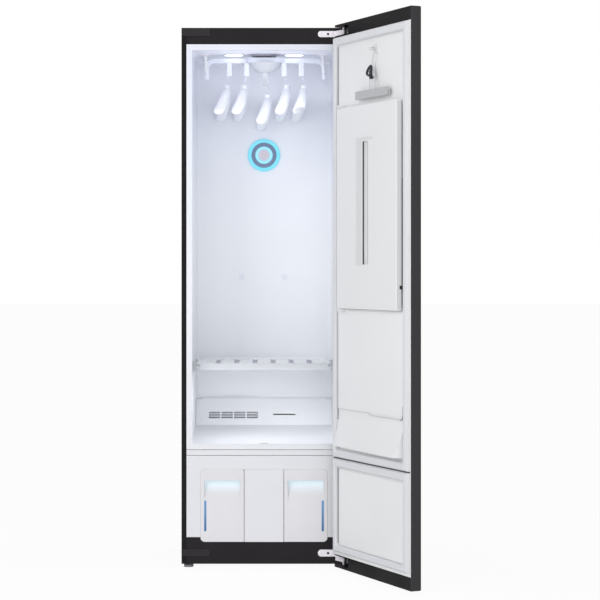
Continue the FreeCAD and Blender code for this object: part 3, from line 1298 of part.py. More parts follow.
def clamp_lever():
    """The black lever, which turns on the cross wire between the hanger's two wires."""
    p = hanger_plane()
    z0, z1 = LEVER_Z
    outline = [(p + 4.4, z1), (p + 9.0, z1 - 3), (p + 12.0, z0 + 12), (p + 9.0, z0), (p + 3.0, z0),
               (p + 3.5, z1 - 12)]
    face = Part.Face(Part.makePolygon([door_point(PEG_S - 6, a, b) for a, b in outline + outline[:1]]))
    eye = cylinder(WIRE_RADIUS + 2.3, 12.0, door_point(PEG_S + 6, p, LEVER_PIVOT_Z), X_AXIS)
    bore = cylinder(WIRE_RADIUS + FIT, 14.0, door_point(PEG_S + 7, p, LEVER_PIVOT_Z), X_AXIS)
    return on_door(cut(fuse([face.extrude(V(-12.0, 0, 0)), eye]), [bore]))


# ---- machine room
def compressor():
    inset, d, radius, tall = COMPRESSOR
    x = HALF - inset
    low = TRAY_TOP
    plate = box((x - radius - 14, x + radius + 14), (d - radius - 4, d + radius + 4), (low + 10, low + 13))
    can = cylinder(radius, tall, V(x, FRONT + d, low + 13))
    can = can.makeFillet(24.0, [e for e in can.Edges if e.CenterOfMass.z > low + tall])
    studs = []
    for a in (-1, 1):
        for b in (-1, 1):
            place = V(x + a * (radius + 4), FRONT + d + b * (radius - 6), low)
            studs.append(cylinder(8.0, 10.0, place))
    end = low + tall + 45
    pipe = tube([(x, FRONT + d, low + tall + 5), (x, FRONT + d, end), (x - 40, FRONT + d, end)], 4.0, 14.0)
    return fuse([plate, can, pipe] + studs)


def heat_exchangers():
    wide, deep, tall = COIL_SIZE
    coils = []
    x = FAN_X + COIL_ASIDE
    for d in COIL_DEPTHS:
        block = box((x - wide / 2, x + wide / 2), (d - deep / 2, d + deep / 2), (TRAY_TOP, TRAY_TOP + tall))
        grooves = []
        fins = 11
        pitch = tall / fins
        for fin in range(1, fins):
            z = TRAY_TOP + fin * pitch
            across = (x - wide / 2 + 8, x + wide / 2 - 8)
            grooves.append(box(across, (d - deep, d - deep / 2 + 8), (z - 5, z + 5)))
        coils.append(cut(block, grooves))
    return group(coils)


def fan_housing():
    x, z = FAN_X, FAN_HEIGHT
    radius, deep, start = FAN_HOUSING
    sheet = FAN_SHEET
    drum = cylinder(radius, deep, V(x, FRONT + start, z), Y_AXIS)
    top = CHANNEL - FLUE_GAP
    chimney = box((x - 30, x + radius), (start, start + deep), (z, top))
    foot = box((x - 50, x + 50), (start, start + deep), (TRAY_TOP, z))
    room = cylinder(radius - sheet, deep - 2 * sheet, V(x, FRONT + start + sheet, z), Y_AXIS)
    flue = box((x - 30 + sheet, x + radius - sheet), (start + sheet, start + deep - sheet), (z, top + 1))
    inlet = cylinder(radius * 0.55, sheet + 2, V(x, FRONT + start - 1, z), Y_AXIS)
    shaft = cylinder(6.0, sheet + 2, V(x, FRONT + start + deep - sheet - 1, z), Y_AXIS)
    return cut(fuse([drum, chimney, foot]), [room, flue, inlet, shaft])


def fan_motor():
    x, z = FAN_X, FAN_HEIGHT
    deep, start = FAN_HOUSING[1:]
    back = FRONT + start + deep
    can = cylinder(32.0, 44.0, V(x, back, z), Y_AXIS)
    shaft = cylinder(4.0, deep - 12 + 10, V(x, FRONT + start + 12, z), Y_AXIS)
    return fuse([can, shaft])


def fan_rotor():
    x, z = FAN_X, FAN_HEIGHT
    radius, deep, hub = ROTOR
    start = FRONT + FAN_HOUSING[2] + 10
    disc = cylinder(radius, 3.0, V(x, start + deep - 3, z), Y_AXIS)
    boss = cylinder(hub, deep - 6, V(x, start + 6, z), Y_AXIS)
    rim = ring(radius, radius - 5, 3.0, V(x, start, z), Y_AXIS)
    blades = []
    for number in range(BLADES):
        blade = Part.makeBox(3.0, deep, 12.0, V(x - 1.5, start, z + radius - 13))
        blade.rotate(V(x, 0, z), Y_AXIS, 360.0 * number / BLADES)
        blades.append(blade)
    bore = cylinder(4.0 + FIT, deep + 4, V(x, start - 2, z), Y_AXIS)
    return cut(fuse([disc, boss, rim] + blades), [bore])


def steam_generator():
    x, d, wide, deep, tall = GENERATOR
    tank_box = box((x - wide / 2, x + wide / 2), (d - deep / 2, d + deep / 2), (TRAY_TOP, TRAY_TOP + tall))
    tank_box = rounded(tank_box, 12.0, Z_AXIS)
    lid = box((x - wide / 2 - 5, x + wide / 2 + 5), (d - deep / 2 - 5, d + deep / 2 + 5),
              (TRAY_TOP + tall - 12, TRAY_TOP + tall - 4))
    spigot = cylinder(HOSE_RADIUS + 3, 14.0, V(x + 30, FRONT + d + 20, TRAY_TOP + tall))
    bore = cylinder(HOSE_RADIUS + SEAT_GAP, 20.0, V(x + 30, FRONT + d + 20, TRAY_TOP + tall + 14))
    sheet = BOX_SHEET
    room = box((x - wide / 2 + sheet, x + wide / 2 - sheet), (d - deep / 2 + sheet, d + deep / 2 - sheet),
               (TRAY_TOP + sheet, TRAY_TOP + tall - sheet))
    room = rounded(room, 12.0 - sheet, Z_AXIS)
    return cut(fuse([tank_box, lid, spigot]), [bore, room])


def water_pumps():
    pumps = []
    for x in PUMPS:
        base = box((x - 24, x + 24), (250, 306), (TRAY_TOP, TRAY_TOP + 12))
        can = cylinder(18.0, 52.0, V(x, FRONT + 252, TRAY_TOP + 28), Y_AXIS)
        pumps.append(fuse([base, can]))
    return group(pumps)


def control_box():
    """A folded case on the rear cover, with a lid that overlaps it."""
    back = DEPTH - 2 * SHEET
    left, right = (HALF - inset for inset in CONTROL_BOX_INSET)
    low, high = CONTROL_BOX_Z
    sheet = BOX_SHEET
    case = box((left, right), (back - 46, back), (low, high))
    room = box((left + sheet, right - sheet), (back - 46 + sheet, back - sheet), (low + sheet, high - sheet))
    lid = box((left - 6, right + 6), (back - 46 - sheet, back - 46), (low - 4, high + 4))
    return cut(fuse([case, lid]), [room])


def power_inlet():
    x, z = INLET_X, INLET_HEIGHT
    wide, tall, deep = INLET_SIZE
    back = DEPTH
    body = box((x - wide / 2, x + wide / 2), (back - deep, back - SHEET), (z - tall / 2, z + tall / 2))
    face = box((x - wide / 2 - 5, x + wide / 2 + 5), (back - SHEET, back), (z - tall / 2 - 5, z + tall / 2 + 5))
    well = box((x - 17, x + 17), (back - 22, back + 1), (z - 10, z + 10))
    pins = []
    for dx, dz in ((-9, -3), (0, 3), (9, -3)):
        pins.append(box((x + dx - 1, x + dx + 1), (back - 24, back - 5), (z + dz - 2.5, z + dz + 2.5)))
    return fuse([cut(fuse([body, face]), [well])] + pins)


def nodes():
    made = {
        "side_panel_left": side_panel_left(),
        "side_panel_right": side_panel_right(),
        "top_cover": top_cover(),
        "rear_cover": rear_cover(),
        "base_tray": base_tray(),
        "front_rails": front_rails(),
        "chamber_liner": chamber_liner(),
        "divider_bar": divider_bar(),
        "lower_front_panel": lower_front_panel(),
        "tank_bay": tank_bay(),
        "centre_cover": centre_cover(),
        "lamp_lenses": lamp_lenses(),
        "corner_covers": corner_covers(),
        "hinge_brackets": hinge_brackets(),
        "hinge_pins": hinge_pins(),
        "hinge_screws": hinge_screws(),
        "duct_cover": duct_cover(),
        "lint_filter": lint_filter(),
        "nozzle_light_ring": nozzle_light_ring(),
        "nozzle_bezel": nozzle_bezel(),
        "nozzle_cap": nozzle_cap(),
        "shelf": shelf(),
        "shelf_supports": shelf_supports(),
        "hanger_rail": hanger_rail(),
        "rail_cover": rail_cover(),
        "drive_motor": drive_motor(),
        "drive_crank": drive_crank(),
        "swing_arm_left": swing_arm(-1),
        "swing_arm_right": swing_arm(1),
        "swing_brackets": swing_brackets(),
        "supply_tank": tank(-1),
        "drain_tank": tank(1),
        "front_foot_left": front_foot(0),
        "front_foot_right": front_foot(1),
        "rear_feet": rear_feet(),
        "compressor": compressor(),
        "heat_exchangers": heat_exchangers(),
        "fan_housing": fan_housing(),
        "fan_motor": fan_motor(),
        "fan_rotor": fan_rotor(),
        "steam_generator": steam_generator(),
        "steam_hose": steam_hose(),
        "water_pumps": water_pumps(),
        "control_box": control_box(),
        "power_inlet": power_inlet(),
        "door_glass": door_glass(),
        "door_frame": door_frame(),
        "door_liner": door_liner(),
        "door_gaskets": door_gaskets(),
        "door_fittings": door_fittings(),
        "press_panel": press_panel(),
        "press_latch": press_latch(),
        "trouser_hanger": trouser_hanger(),
        "clamp_bar": clamp_bar(),
        "clamp_lever": clamp_lever(),
    }
    for number in range(len(POST_PLACES)):
        made[f"garment_hanger_{number + 1}"] = garment_hanger(number)
    return made


os.makedirs("parts", exist_ok=True)
for name, shape in nodes().items():
    shape.exportStep(f"parts/{name}.step")
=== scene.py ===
"""The visible pieces and finishes of a clothes care steam cabinet.

Sizes are in millimetres. x runs to the right, d behind the case's front plane, z up from the floor.
On the door, s is a distance from its hinge edge and p from its inner face. Door pieces are modelled
on the shut door and then turned with it.
"""
import math

import bpy
from mathutils import Matrix, Vector


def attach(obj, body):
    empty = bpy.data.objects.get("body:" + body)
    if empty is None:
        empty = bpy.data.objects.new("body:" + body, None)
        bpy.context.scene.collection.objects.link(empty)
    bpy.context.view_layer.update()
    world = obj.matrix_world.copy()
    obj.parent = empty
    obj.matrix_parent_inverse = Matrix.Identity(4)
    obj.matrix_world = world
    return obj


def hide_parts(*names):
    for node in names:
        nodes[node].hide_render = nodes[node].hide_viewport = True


MM = 0.001
FRONT = -262.5            # y of the case's front plane
DOOR_FACE = -277.5        # y of the shut door's inner face
HINGE = (287.0, -305.5)   # x and y of the door's axis
HALF = 300.0              # of the case's width
OPEN_ANGLE = 113.0
CEILING = 1889.0
REAR_FACE = 525.6         # d of the rear screws' middle

# ---- rail and hangers
RAIL_Y = -12.5
RAIL_PARK = 5.0           # how far right of the middle the rail rests
HANGER_PLACES = (-135.0, -70.0, 0.0, 70.0, 135.0)
HANGER_LEAN = 10.0        # of a hanger's neck, away from the middle
SIDE_PIN = 1822.0         # z of the outer hook posts' pins
CENTRE_PIN = 1787.0
NECK_DROP = 48.0          # from a pin to the top of a neck
HOOK_RADIUS = 5.0
HOOK_WIRE = 1.7
# along the hanger, across it and down to its section, then the section's half width and half height
HANGER_SECTIONS = (
    (-190, -29, 114, 17, 11), (-172, -25, 106, 21, 15), (-130, -12, 76, 20, 16), (-65, -2, 36, 17, 15),
    (0, 0, 17, 14, 14),
    (65, -2, 36, 17, 15), (130, -12, 76, 20, 16), (172, -25, 106, 21, 15), (190, -29, 114, 17, 11))

# ---- nozzle, in metres, for the shader
NOZZLE_Z = 1.524
OUTER_RING = 0.055
INNER_RING = 0.0275

# ---- hinge plates
PLATE_HEIGHTS = (1939, 52.5)
PLATE_SCREWS_X = (205, 247)
PLATE_PLUG_X = 233

# ---- door
GASKET_ENDS = (8.0, 592.0)   # s of the hinge side and the free side
GASKET_WIDTH = 30.0
# inset and rise of each step, from the foot to the magnet strip
GASKET_STEPS = ((2.5, 0.0), (0.0, 2.6), (2.5, 0.8), (0.0, 4.4), (3.0, 1.9))
# where the painted shadow line runs along the gaskets' hinge-side inner edge
EDGE_SHADOW_S = (38.1, 39.0)
EDGE_SHADOW_P = (4.3, 7.3)
GRIP_Z = (1101.5, 1528.5)    # of the press's finger slot

# ---- camera, in pixels of a square picture
PICTURE = 600.0
FOCAL_LENGTH = 1995.0
LOOK_AT = (264.0, 266.0)
SENSOR = 36.0

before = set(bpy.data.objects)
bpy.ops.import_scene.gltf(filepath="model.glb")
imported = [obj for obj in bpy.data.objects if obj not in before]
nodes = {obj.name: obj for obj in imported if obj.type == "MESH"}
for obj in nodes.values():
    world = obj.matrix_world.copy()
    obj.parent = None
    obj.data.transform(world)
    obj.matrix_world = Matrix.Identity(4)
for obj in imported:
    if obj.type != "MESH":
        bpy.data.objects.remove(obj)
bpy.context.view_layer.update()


# ---- shader maths
class Value:
    """A node socket that takes part in arithmetic."""

    def __init__(self, finish, socket):
        self.finish = finish
        self.socket = socket

    def maths(self, operation, *values):
        return self.finish.node("ShaderNodeMath", {"operation": operation}, *values)

    def __add__(self, other):
        return self.maths("ADD", self, other)

    def __radd__(self, other):
        return self.maths("ADD", other, self)

    def __sub__(self, other):
        return self.maths("SUBTRACT", self, other)

    def __rsub__(self, other):
        return self.maths("SUBTRACT", other, self)

    def __mul__(self, other):
        return self.maths("MULTIPLY", self, other)

    def __rmul__(self, other):
        return self.maths("MULTIPLY", other, self)

    def __truediv__(self, other):
        return self.maths("DIVIDE", self, other)

    def __pow__(self, other):
        return self.maths("POWER", self, other)

    def __abs__(self):
        return self.maths("ABSOLUTE", self)

    def ramp(self, low, high, start=0.0, end=1.0):
        """Maps low..high onto start..end with a smooth step, held at both ends."""
        settings = {"interpolation_type": "SMOOTHSTEP"}
        return self.finish.node("ShaderNodeMapRange", settings, self, low, high, start, end)


MIX_COLOURS = (6, 7)      # the mix node's colour inputs
MIX_RESULT = 2            # and its colour output


class Finish:
    """One material, with the nodes that make it."""

    def __init__(self, name, roughness=0.5, **sockets):
        self.material = bpy.data.materials.new(name)
        self.material.use_nodes = True
        self.tree = self.material.node_tree
        self.shader = self.tree.nodes["Principled BSDF"]
        self.set("Roughness", roughness)
        for socket, value in sockets.items():
            self.set(socket.replace("_", " "), value)

    def set(self, socket, value):
        self.plug(self.shader.inputs[socket], value)

    def plug(self, target, value):
        if isinstance(value, Value):
            self.tree.links.new(value.socket, target)
        elif isinstance(value, tuple) and len(value) == 3 and target.type == "RGBA":
            target.default_value = (*value, 1.0)
        else:
            target.default_value = value

    def node(self, kind, settings=None, *inputs, out=0, **named):
        """Any node: its settings first, then the values or links of its sockets, in order or by name."""
        made = self.tree.nodes.new(kind)
        for key, value in (settings or {}).items():
            if key == "stops":
                while len(made.color_ramp.elements) < len(value):
                    made.color_ramp.elements.new(0.5)
                for stop, (place, colour) in zip(made.color_ramp.elements, value):
                    stop.position = place
                    stop.color = (*colour, 1.0)
            else:
                setattr(made, key, value)
        for number, value in enumerate(inputs):
            self.plug(made.inputs[number], value)
        for key, value in named.items():
            self.plug(made.inputs[key], value)
        return Value(self, made.outputs[out])

    def place(self, on_door=False, centre=(0, 0, 0), scale=(1, 1, 1)):
        """Object coordinates in metres; for a door piece, those of the shut door."""
        where = self.node("ShaderNodeTexCoord", out="Object")
        if on_door:
            pivot = (HINGE[0] * MM, HINGE[1] * MM, 0)
            settings = {"rotation_type": "Z_AXIS"}
            where = self.node("ShaderNodeVectorRotate", settings, Vector=where, Center=pivot,
                              Angle=-math.radians(OPEN_ANGLE))
        shift = tuple(-c * s for c, s in zip(centre, scale))
        return self.node("ShaderNodeMapping", None, Vector=where, Location=shift, Scale=scale)

    def axis(self, where, letter):
        return self.node("ShaderNodeSeparateXYZ", None, where, out=letter)

    def noise(self, where, scale, detail=2.0, roughness=0.5):
        return self.node("ShaderNodeTexNoise", None, Vector=where, Scale=scale, Detail=detail,
                         Roughness=roughness)

    def blend(self, factor, first, second):
        """A colour between two colours."""
        made = self.tree.nodes.new("ShaderNodeMix")
        made.data_type = "RGBA"
        self.plug(made.inputs["Factor"], factor)
        self.plug(made.inputs[MIX_COLOURS[0]], first)
        self.plug(made.inputs[MIX_COLOURS[1]], second)
        return Value(self, made.outputs[MIX_RESULT])

    def bump(self, height, distance, strength=1.0):
        normal = self.node("ShaderNodeBump", None, Height=height, Distance=distance, Strength=strength)
        self.set("Normal", normal)


def srgb(red, green, blue):
    """A colour given in display numbers, 0 to 255."""
    parts = []
    for number in (red, green, blue):
        c = number / 255
        parts.append(c / 12.92 if c <= 0.04045 else ((c + 0.055) / 1.055) ** 2.4)
    return tuple(parts)


def moulded(name, colour, roughness=0.42, grain=1800.0, depth=0.00012, on_door=False, drift=0.03, shade=None):
    """Moulded plastic: a fine spark-eroded grain, slow tone drift and slightly uneven gloss."""
    finish = Finish(name, roughness)
    where = finish.place(on_door)
    slow = finish.noise(where, 2.2, 3.0)
    tone = finish.blend(slow.ramp(0.35, 0.65), tuple(c * (1 - drift) for c in colour), colour)
    if shade:
        tone = shade(finish, where, tone)
    finish.set("Base Color", tone)
    finish.set("Roughness", roughness - 0.05 + 0.1 * finish.noise(where, 40.0, 4.0))
    finish.bump(finish.noise(where, grain, 2.0), depth, 0.35)
    return finish


def enamelled(name, colour, roughness=0.35, on_door=False, coat=0.3, sheen=0.5):
    """Baked paint on sheet metal: orange peel under a thin coat, with faint dust-dulled patches."""
    finish = Finish(name, roughness, Coat_Roughness=0.15, Specular_IOR_Level=sheen)
    where = finish.place(on_door)
    haze = finish.noise(where, 6.0, 5.0).ramp(0.3, 0.75)
    finish.set("Base Color", finish.blend(haze, colour, tuple(min(1.0, c * 1.12 + 0.002) for c in colour)))
    finish.set("Roughness", roughness + 0.08 * haze)
    finish.set("Coat Weight", coat - 0.1 * haze)
    finish.bump(finish.noise(where, 420.0, 1.0), 0.0002, 0.25)
    return finish


def metal(name, colour, roughness=0.28, brush=(1, 1, 1), on_door=False):
    """Bare or plated metal with fine brushing along one direction."""
    finish = Finish(name, roughness, Metallic=1.0)
    where = finish.place(on_door, scale=brush)
    lines = finish.noise(where, 900.0, 3.0)
    finish.set("Base Color", finish.blend(lines.ramp(0.3, 0.7), tuple(c * 0.86 for c in colour), colour))
    finish.set("Roughness", roughness - 0.06 + 0.14 * lines)
    finish.bump(lines, 0.00006, 0.3)
    return finish


def lit(name, colour, strength, glow=None, roughness=0.4):
    """A frosted lens with a light behind it."""
    finish = Finish(name, roughness, Emission_Strength=strength)
    where = finish.place()
    frost = finish.noise(where, 1500.0, 2.0)
    tone = finish.blend(frost.ramp(0.3, 0.7), tuple(c * 0.96 for c in colour), colour)
    finish.set("Base Color", tone)
    finish.set("Emission Color", glow(finish, where, tone) if glow else tone)
    finish.bump(frost, 0.00008, 0.2)
    return finish


def chamber_painted_lamp_tint(finish, where, tone):
    """Painted cool lamp light: the chamber's walls are tinted a little bluer towards the lamps."""
    # painted light: bluer with height, towards the lamps
    high = finish.axis(where, "Z").ramp(1.0, 1.9)
    return finish.blend(0.55 * high, tone, srgb(226, 229, 243))


def bracket_shade(finish, where, tone):
    """Grey where the shelf rests, near-white on the clips further up the wall."""
    return finish.blend(finish.axis(where, "Z").ramp(0.85, 0.95), tone, srgb(222, 226, 233))


def shelf_lip_painted_shade(finish, where, tone):
    """Painted shade: the front lip is painted a shade greyer than the deck."""
    # painted shade on the front lip
    return finish.blend(finish.axis(where, "Y").ramp(-0.1950, -0.1962), tone, srgb(206, 209, 214))


def tank_finish():
    """Glossy white plastic, with a painted cool light, an emission that spills down each finger recess."""
    finish = moulded("tank_plastic", srgb(228, 227, 230), 0.25)
    finish.set("Emission Strength", 0.24)
    where = finish.place()
    x, y, z = (finish.axis(where, letter) for letter in "XYZ")
    across = abs(abs(x) - 0.152).ramp(0.0655, 0.0635)
    inside = y.ramp(-0.2640, -0.2605) * y.ramp(-0.236, -0.240)
    # painted light: the glow fades down each recess
    spill = z.ramp(0.258, 0.314) * across * inside
    finish.set("Emission Color", finish.blend(spill, (0.0, 0.0, 0.0), srgb(186, 240, 255)))
    return finish


def ring_glow(finish, where, tone):
    """Brightest along the middle of each lit ring."""
    x = finish.axis(where, "X")
    z = finish.axis(where, "Z") - NOZZLE_Z
    radius = (x * x + z * z) ** 0.5
    outer = abs(radius - OUTER_RING).ramp(0.003, 0.009)
    inner = abs(radius - INNER_RING).ramp(0.002, 0.009)
    edge = finish.node("ShaderNodeMath", {"operation": "MINIMUM"}, outer, inner)
    core = finish.blend(radius.ramp(0.038, 0.042), srgb(182, 238, 250), srgb(134, 226, 244))
    return finish.blend(edge, core, srgb(52, 182, 214))


def door_frame_finish():
    """Dark satin enamel, with a paler tone painted as light along the door's free edge face."""
    finish = Finish("door_frame_enamel", 0.45, Specular_IOR_Level=0.08)
    where = finish.place(True)
    haze = finish.noise(where, 6.0, 5.0).ramp(0.3, 0.75)
    # painted light on the free edge face
    free_edge = finish.axis(where, "X").ramp(-0.2975, -0.2993)
    dark = finish.blend(haze, srgb(11, 8, 12), srgb(14, 11, 15))
    finish.set("Base Color", finish.blend(free_edge, dark, srgb(60, 59, 61)))
    finish.set("Roughness", 0.42 + 0.08 * haze)
    finish.bump(finish.noise(where, 420.0, 1.0), 0.0002, 0.25)
    return finish


def press_finish():
    """Satin white plastic; the moulded margin round the grip and the free side face carry painted shade, a
    shade darker.
    """
    finish = moulded("press_plastic", srgb(234, 234, 234), 0.4, on_door=True)
    where = finish.place(True)
    x, y, z = (finish.axis(where, letter) for letter in "XYZ")
    # painted shade on the margin round the grip
    beside = x.ramp(0.0065, 0.0095) * x.ramp(0.0560, 0.0520) * z.ramp(1.093, 1.100) * z.ramp(1.544, 1.541)
    above = x.ramp(-0.0780, -0.0750) * x.ramp(0.0560, 0.0520) * z.ramp(1.531, 1.533) * z.ramp(1.544, 1.541)
    margin = finish.node("ShaderNodeMath", {"operation": "MAXIMUM"}, beside, above)
    # painted shade on the free side face
    side = x.ramp(-0.2585, -0.2595)
    tone = finish.blend(0.75 * margin, srgb(234, 234, 234), srgb(216, 216, 216))
    finish.set("Base Color", finish.blend(side, tone, srgb(206, 208, 209)))
    return finish


FINISHES = {
    "case": enamelled("case_enamel", srgb(19, 18, 22), 0.42, coat=0.0, sheen=0.16),
    "rail": enamelled("front_rail_enamel", srgb(28, 25, 28), 0.46, coat=0.0, sheen=0.2),
    "zinc": metal("zinc_sheet", srgb(176, 178, 180), 0.42, (1, 1, 0.06)),
    "liner": moulded("chamber_liner_plastic", srgb(234, 236, 240), 0.4, shade=chamber_painted_lamp_tint),
    "front": moulded("front_panel_plastic", srgb(230, 230, 234), 0.36),
    "lamp": lit("lamp_lens", (1.0, 0.99, 0.98), 1.6),
    "hinge": enamelled("hinge_plating", srgb(240, 235, 241), 0.3, coat=0.3),
    "filter": moulded("filter_plastic", srgb(224, 227, 233), 0.5),
    "blank": enamelled("corner_blank_enamel", srgb(42, 39, 42), 0.46, coat=0.0, sheen=0.2),
    # grey that paints the shade in the gaps round the tanks
    "bay": moulded("tank_bay_plastic_painted_gap_shade", srgb(150, 150, 154), 0.5),
    "bracket": moulded("shelf_bracket_plastic", srgb(184, 187, 192), 0.45, shade=bracket_shade),
    # grey strips that paint shadow lines on the door and press
    "dark_shadow_line": moulded("dark_painted_shadow", srgb(112, 112, 114), 0.6, on_door=True),
    # pale strip that paints the soft shadow under the door's raised layer
    "pale_shadow_line": moulded("pale_painted_shadow", srgb(214, 215, 217), 0.6, on_door=True),
    "ring": lit("nozzle_light", srgb(60, 138, 160), 0.72, ring_glow, 0.3),
    "bezel": moulded("nozzle_bezel_plastic", srgb(109, 126, 158), 0.3),
    "cap": moulded("nozzle_cap_plastic", srgb(216, 211, 222), 0.45),
    "shelf": moulded("shelf_plastic", srgb(240, 242, 245), 0.25, shade=shelf_lip_painted_shade),
    "support": moulded("support_plastic", srgb(182, 185, 190), 0.45),
    "bar": enamelled("rail_enamel", srgb(210, 215, 228), 0.25, coat=0.3),
    "dome": moulded("rail_cover_plastic", srgb(194, 197, 205), 0.4),
    # grey that paints the shadow inside the shelf's slots
    "slot": moulded("shelf_slot_painted_shadow", srgb(168, 171, 178), 0.5),
    "drive": enamelled("drive_enamel", srgb(160, 158, 172), 0.4),
    "machine": enamelled("machine_enamel", srgb(110, 112, 116), 0.5),
    "arm": enamelled("arm_enamel", srgb(222, 224, 231), 0.3),
    "tank": tank_finish(),
    "foot": moulded("foot_plastic", srgb(128, 125, 128), 0.6),
    # black plastic, also on strips that paint shadow in gaps
    "black": moulded("black_plastic_and_painted_shadow", srgb(24, 24, 25), 0.32),
    "compressor": enamelled("compressor_enamel", srgb(30, 30, 32), 0.4),
    "coil": metal("coil_aluminium", srgb(200, 202, 205), 0.35, (1, 1, 0.1)),
    "fan": moulded("fan_plastic", srgb(55, 55, 58), 0.5),
    "hose": moulded("hose_rubber", srgb(35, 35, 38), 0.6),
    "door_steel": door_frame_finish(),
    "door_plastic": moulded("door_liner_plastic", srgb(240, 240, 240), 0.4, on_door=True),
    "gasket": moulded("gasket_rubber", srgb(224, 225, 228), 0.6, 2600.0, on_door=True),
    "fitting": moulded("door_fitting_plastic", srgb(228, 228, 229), 0.4, on_door=True),
    "press": press_finish(),
    "wire": enamelled("hanger_wire_enamel", srgb(196, 196, 198), 0.35, on_door=True, coat=0.1),
    "clamp": enamelled("clamp_enamel", srgb(178, 178, 179), 0.35, on_door=True, coat=0.1),
    "lever": moulded("lever_plastic", srgb(22, 22, 24), 0.25, on_door=True),
    "hanger": moulded("garment_hanger_plastic", srgb(230, 232, 239), 0.16, depth=0.00005),
    # grey that paints shade behind the grille and in the ceiling slots
    "shadow": moulded("painted_shade_grey", srgb(196, 199, 205), 0.7),
}


def mirror_finish():
    """Dark mirror glass with a black printed border round its edge."""
    finish = Finish("door_mirror", 0.04, Metallic=0.9, Specular_IOR_Level=0.2)
    where = finish.place(True)
    x, z = finish.axis(where, "X"), finish.axis(where, "Z")
    smears = finish.noise(finish.place(True, scale=(1, 1, 0.35)), 7.0, 5.0).ramp(0.45, 0.8)
    edge_x = abs(x).ramp(0.285, 0.288)
    edge_z = abs(z - 0.9875).ramp(0.960, 0.963)
    border = finish.node("ShaderNodeMath", {"operation": "MAXIMUM"}, edge_x, edge_z)
    finish.set("Base Color", finish.blend(border, srgb(118, 120, 126), srgb(20, 20, 22)))
    finish.set("Metallic", 0.9 - 0.85 * border)
    finish.set("Roughness", 0.03 + 0.05 * smears + 0.06 * border)
    return finish


def window_finish():
    """Clear blue-tinted plastic with water standing behind it."""
    finish = Finish("level_window", 0.12, IOR=1.45)
    where = finish.place()
    low = finish.axis(where, "Z").ramp(0.13, 0.24)
    tone = finish.blend(low, srgb(70, 116, 172), srgb(108, 156, 204))
    finish.set("Base Color", tone)
    finish.bump(finish.noise(where, 300.0, 1.0), 0.0001, 0.15)
    return finish


# Painted light: a faint emission makes the garment hangers glow brighter than the lamps light them.
FINISHES["hanger"].set("Emission Color", srgb(226, 232, 250))
FINISHES["hanger"].set("Emission Strength", 0.08)
FINISHES["mirror"] = mirror_finish()
FINISHES["window"] = window_finish()


# ---- modelling helpers
def point(x, d, z):
    return Vector((x, FRONT + d, z)) * MM


def shut(s, p, z):
    """A point on the shut door."""
    return Vector((HALF - s, DOOR_FACE + p, z)) * MM


def drop_all():
    if bpy.context.object and bpy.context.object.mode != "OBJECT":
        bpy.ops.object.mode_set(mode="OBJECT")
    bpy.ops.object.select_all(action="DESELECT")


def take(piece):
    """Makes a piece the only selected object."""
    drop_all()
    piece.select_set(True)
    bpy.context.view_layer.objects.active = piece


def apply_place():
    bpy.ops.object.transform_apply(location=True, rotation=True, scale=True)


def block(name, low, high):
    """A box between two corners, ready to be shaped."""
    drop_all()
    low, high = Vector(low), Vector(high)
    bpy.ops.mesh.primitive_cube_add(size=1, location=(low + high) / 2, scale=high - low)
    piece = bpy.context.object
    piece.name = name
    apply_place()
    return piece


def round_bar(name, centre, radius, depth, axis="Z", vertices=48):
    """A cylinder, ready to be shaped."""
    drop_all()
    turn = {"X": (0, math.pi / 2, 0), "Y": (math.pi / 2, 0, 0), "Z": (0, 0, 0)}[axis]
    bpy.ops.mesh.primitive_cylinder_add(vertices=vertices, radius=radius * MM, depth=depth * MM,
                                        location=centre, rotation=turn)
    piece = bpy.context.object
    piece.name = name
    apply_place()
    return piece


def choose(piece, test):
    """Selects the faces whose centre and normal pass a test, and opens the piece for editing."""
    take(piece)
    mesh = piece.data
    for part in (mesh.vertices, mesh.edges, mesh.polygons):
        part.foreach_set("select", [False] * len(part))
    for face in mesh.polygons:
        face.select = test(face.center, face.normal)
    bpy.ops.object.mode_set(mode="EDIT")
    bpy.ops.mesh.select_mode(type="FACE")


def done():
    bpy.ops.object.mode_set(mode="OBJECT")


def extrude(x, y, z):
    bpy.ops.mesh.extrude_region_move(TRANSFORM_OT_translate={"value": (x * MM, y * MM, z * MM)})


def modify(piece, kind, **settings):
    """Adds a modifier and applies it."""
    take(piece)
    modifier = piece.modifiers.new(kind.title(), kind)
    for key, value in settings.items():
        setattr(modifier, key, value)
    bpy.ops.object.modifier_apply(modifier=modifier.name)


def ease(piece, width, segments=3, angle=30.0):
    """Rounds every sharp edge and shades the piece."""
    modify(piece, "BEVEL", width=width * MM, segments=segments, limit_method="ANGLE",
           angle_limit=math.radians(angle), use_clamp_overlap=True)
    smooth(piece)


def smooth(piece, angle=38.0):
    take(piece)
    bpy.ops.object.shade_smooth_by_angle(angle=math.radians(angle))
    modify(piece, "WEIGHTED_NORMAL", keep_sharp=True)


def swing(piece):
    """Turns a piece of the shut door to the open one."""
    take(piece)
    pivot = Vector((HINGE[0], HINGE[1], 0)) * MM
    turn = Matrix.Rotation(math.radians(OPEN_ANGLE), 4, "Z")
    piece.matrix_world = Matrix.Translation(pivot) @ turn @ Matrix.Translation(-pivot)
    apply_place()
    return piece


def settle(piece, finish, body="cabinet", stands_for=()):
    """Gives a piece its finish, its body and the nodes that it stands for."""
    piece.data.materials.clear()
    piece.data.materials.append(FINISHES[finish].material)
    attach(piece, body)
    if stands_for:
        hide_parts(*stands_for)
    return piece


def join(name, pieces):
    drop_all()
    for piece in pieces:
        piece.select_set(True)
    bpy.context.view_layer.objects.active = pieces[0]
    bpy.ops.object.join()
    pieces[0].name = name
    return pieces[0]


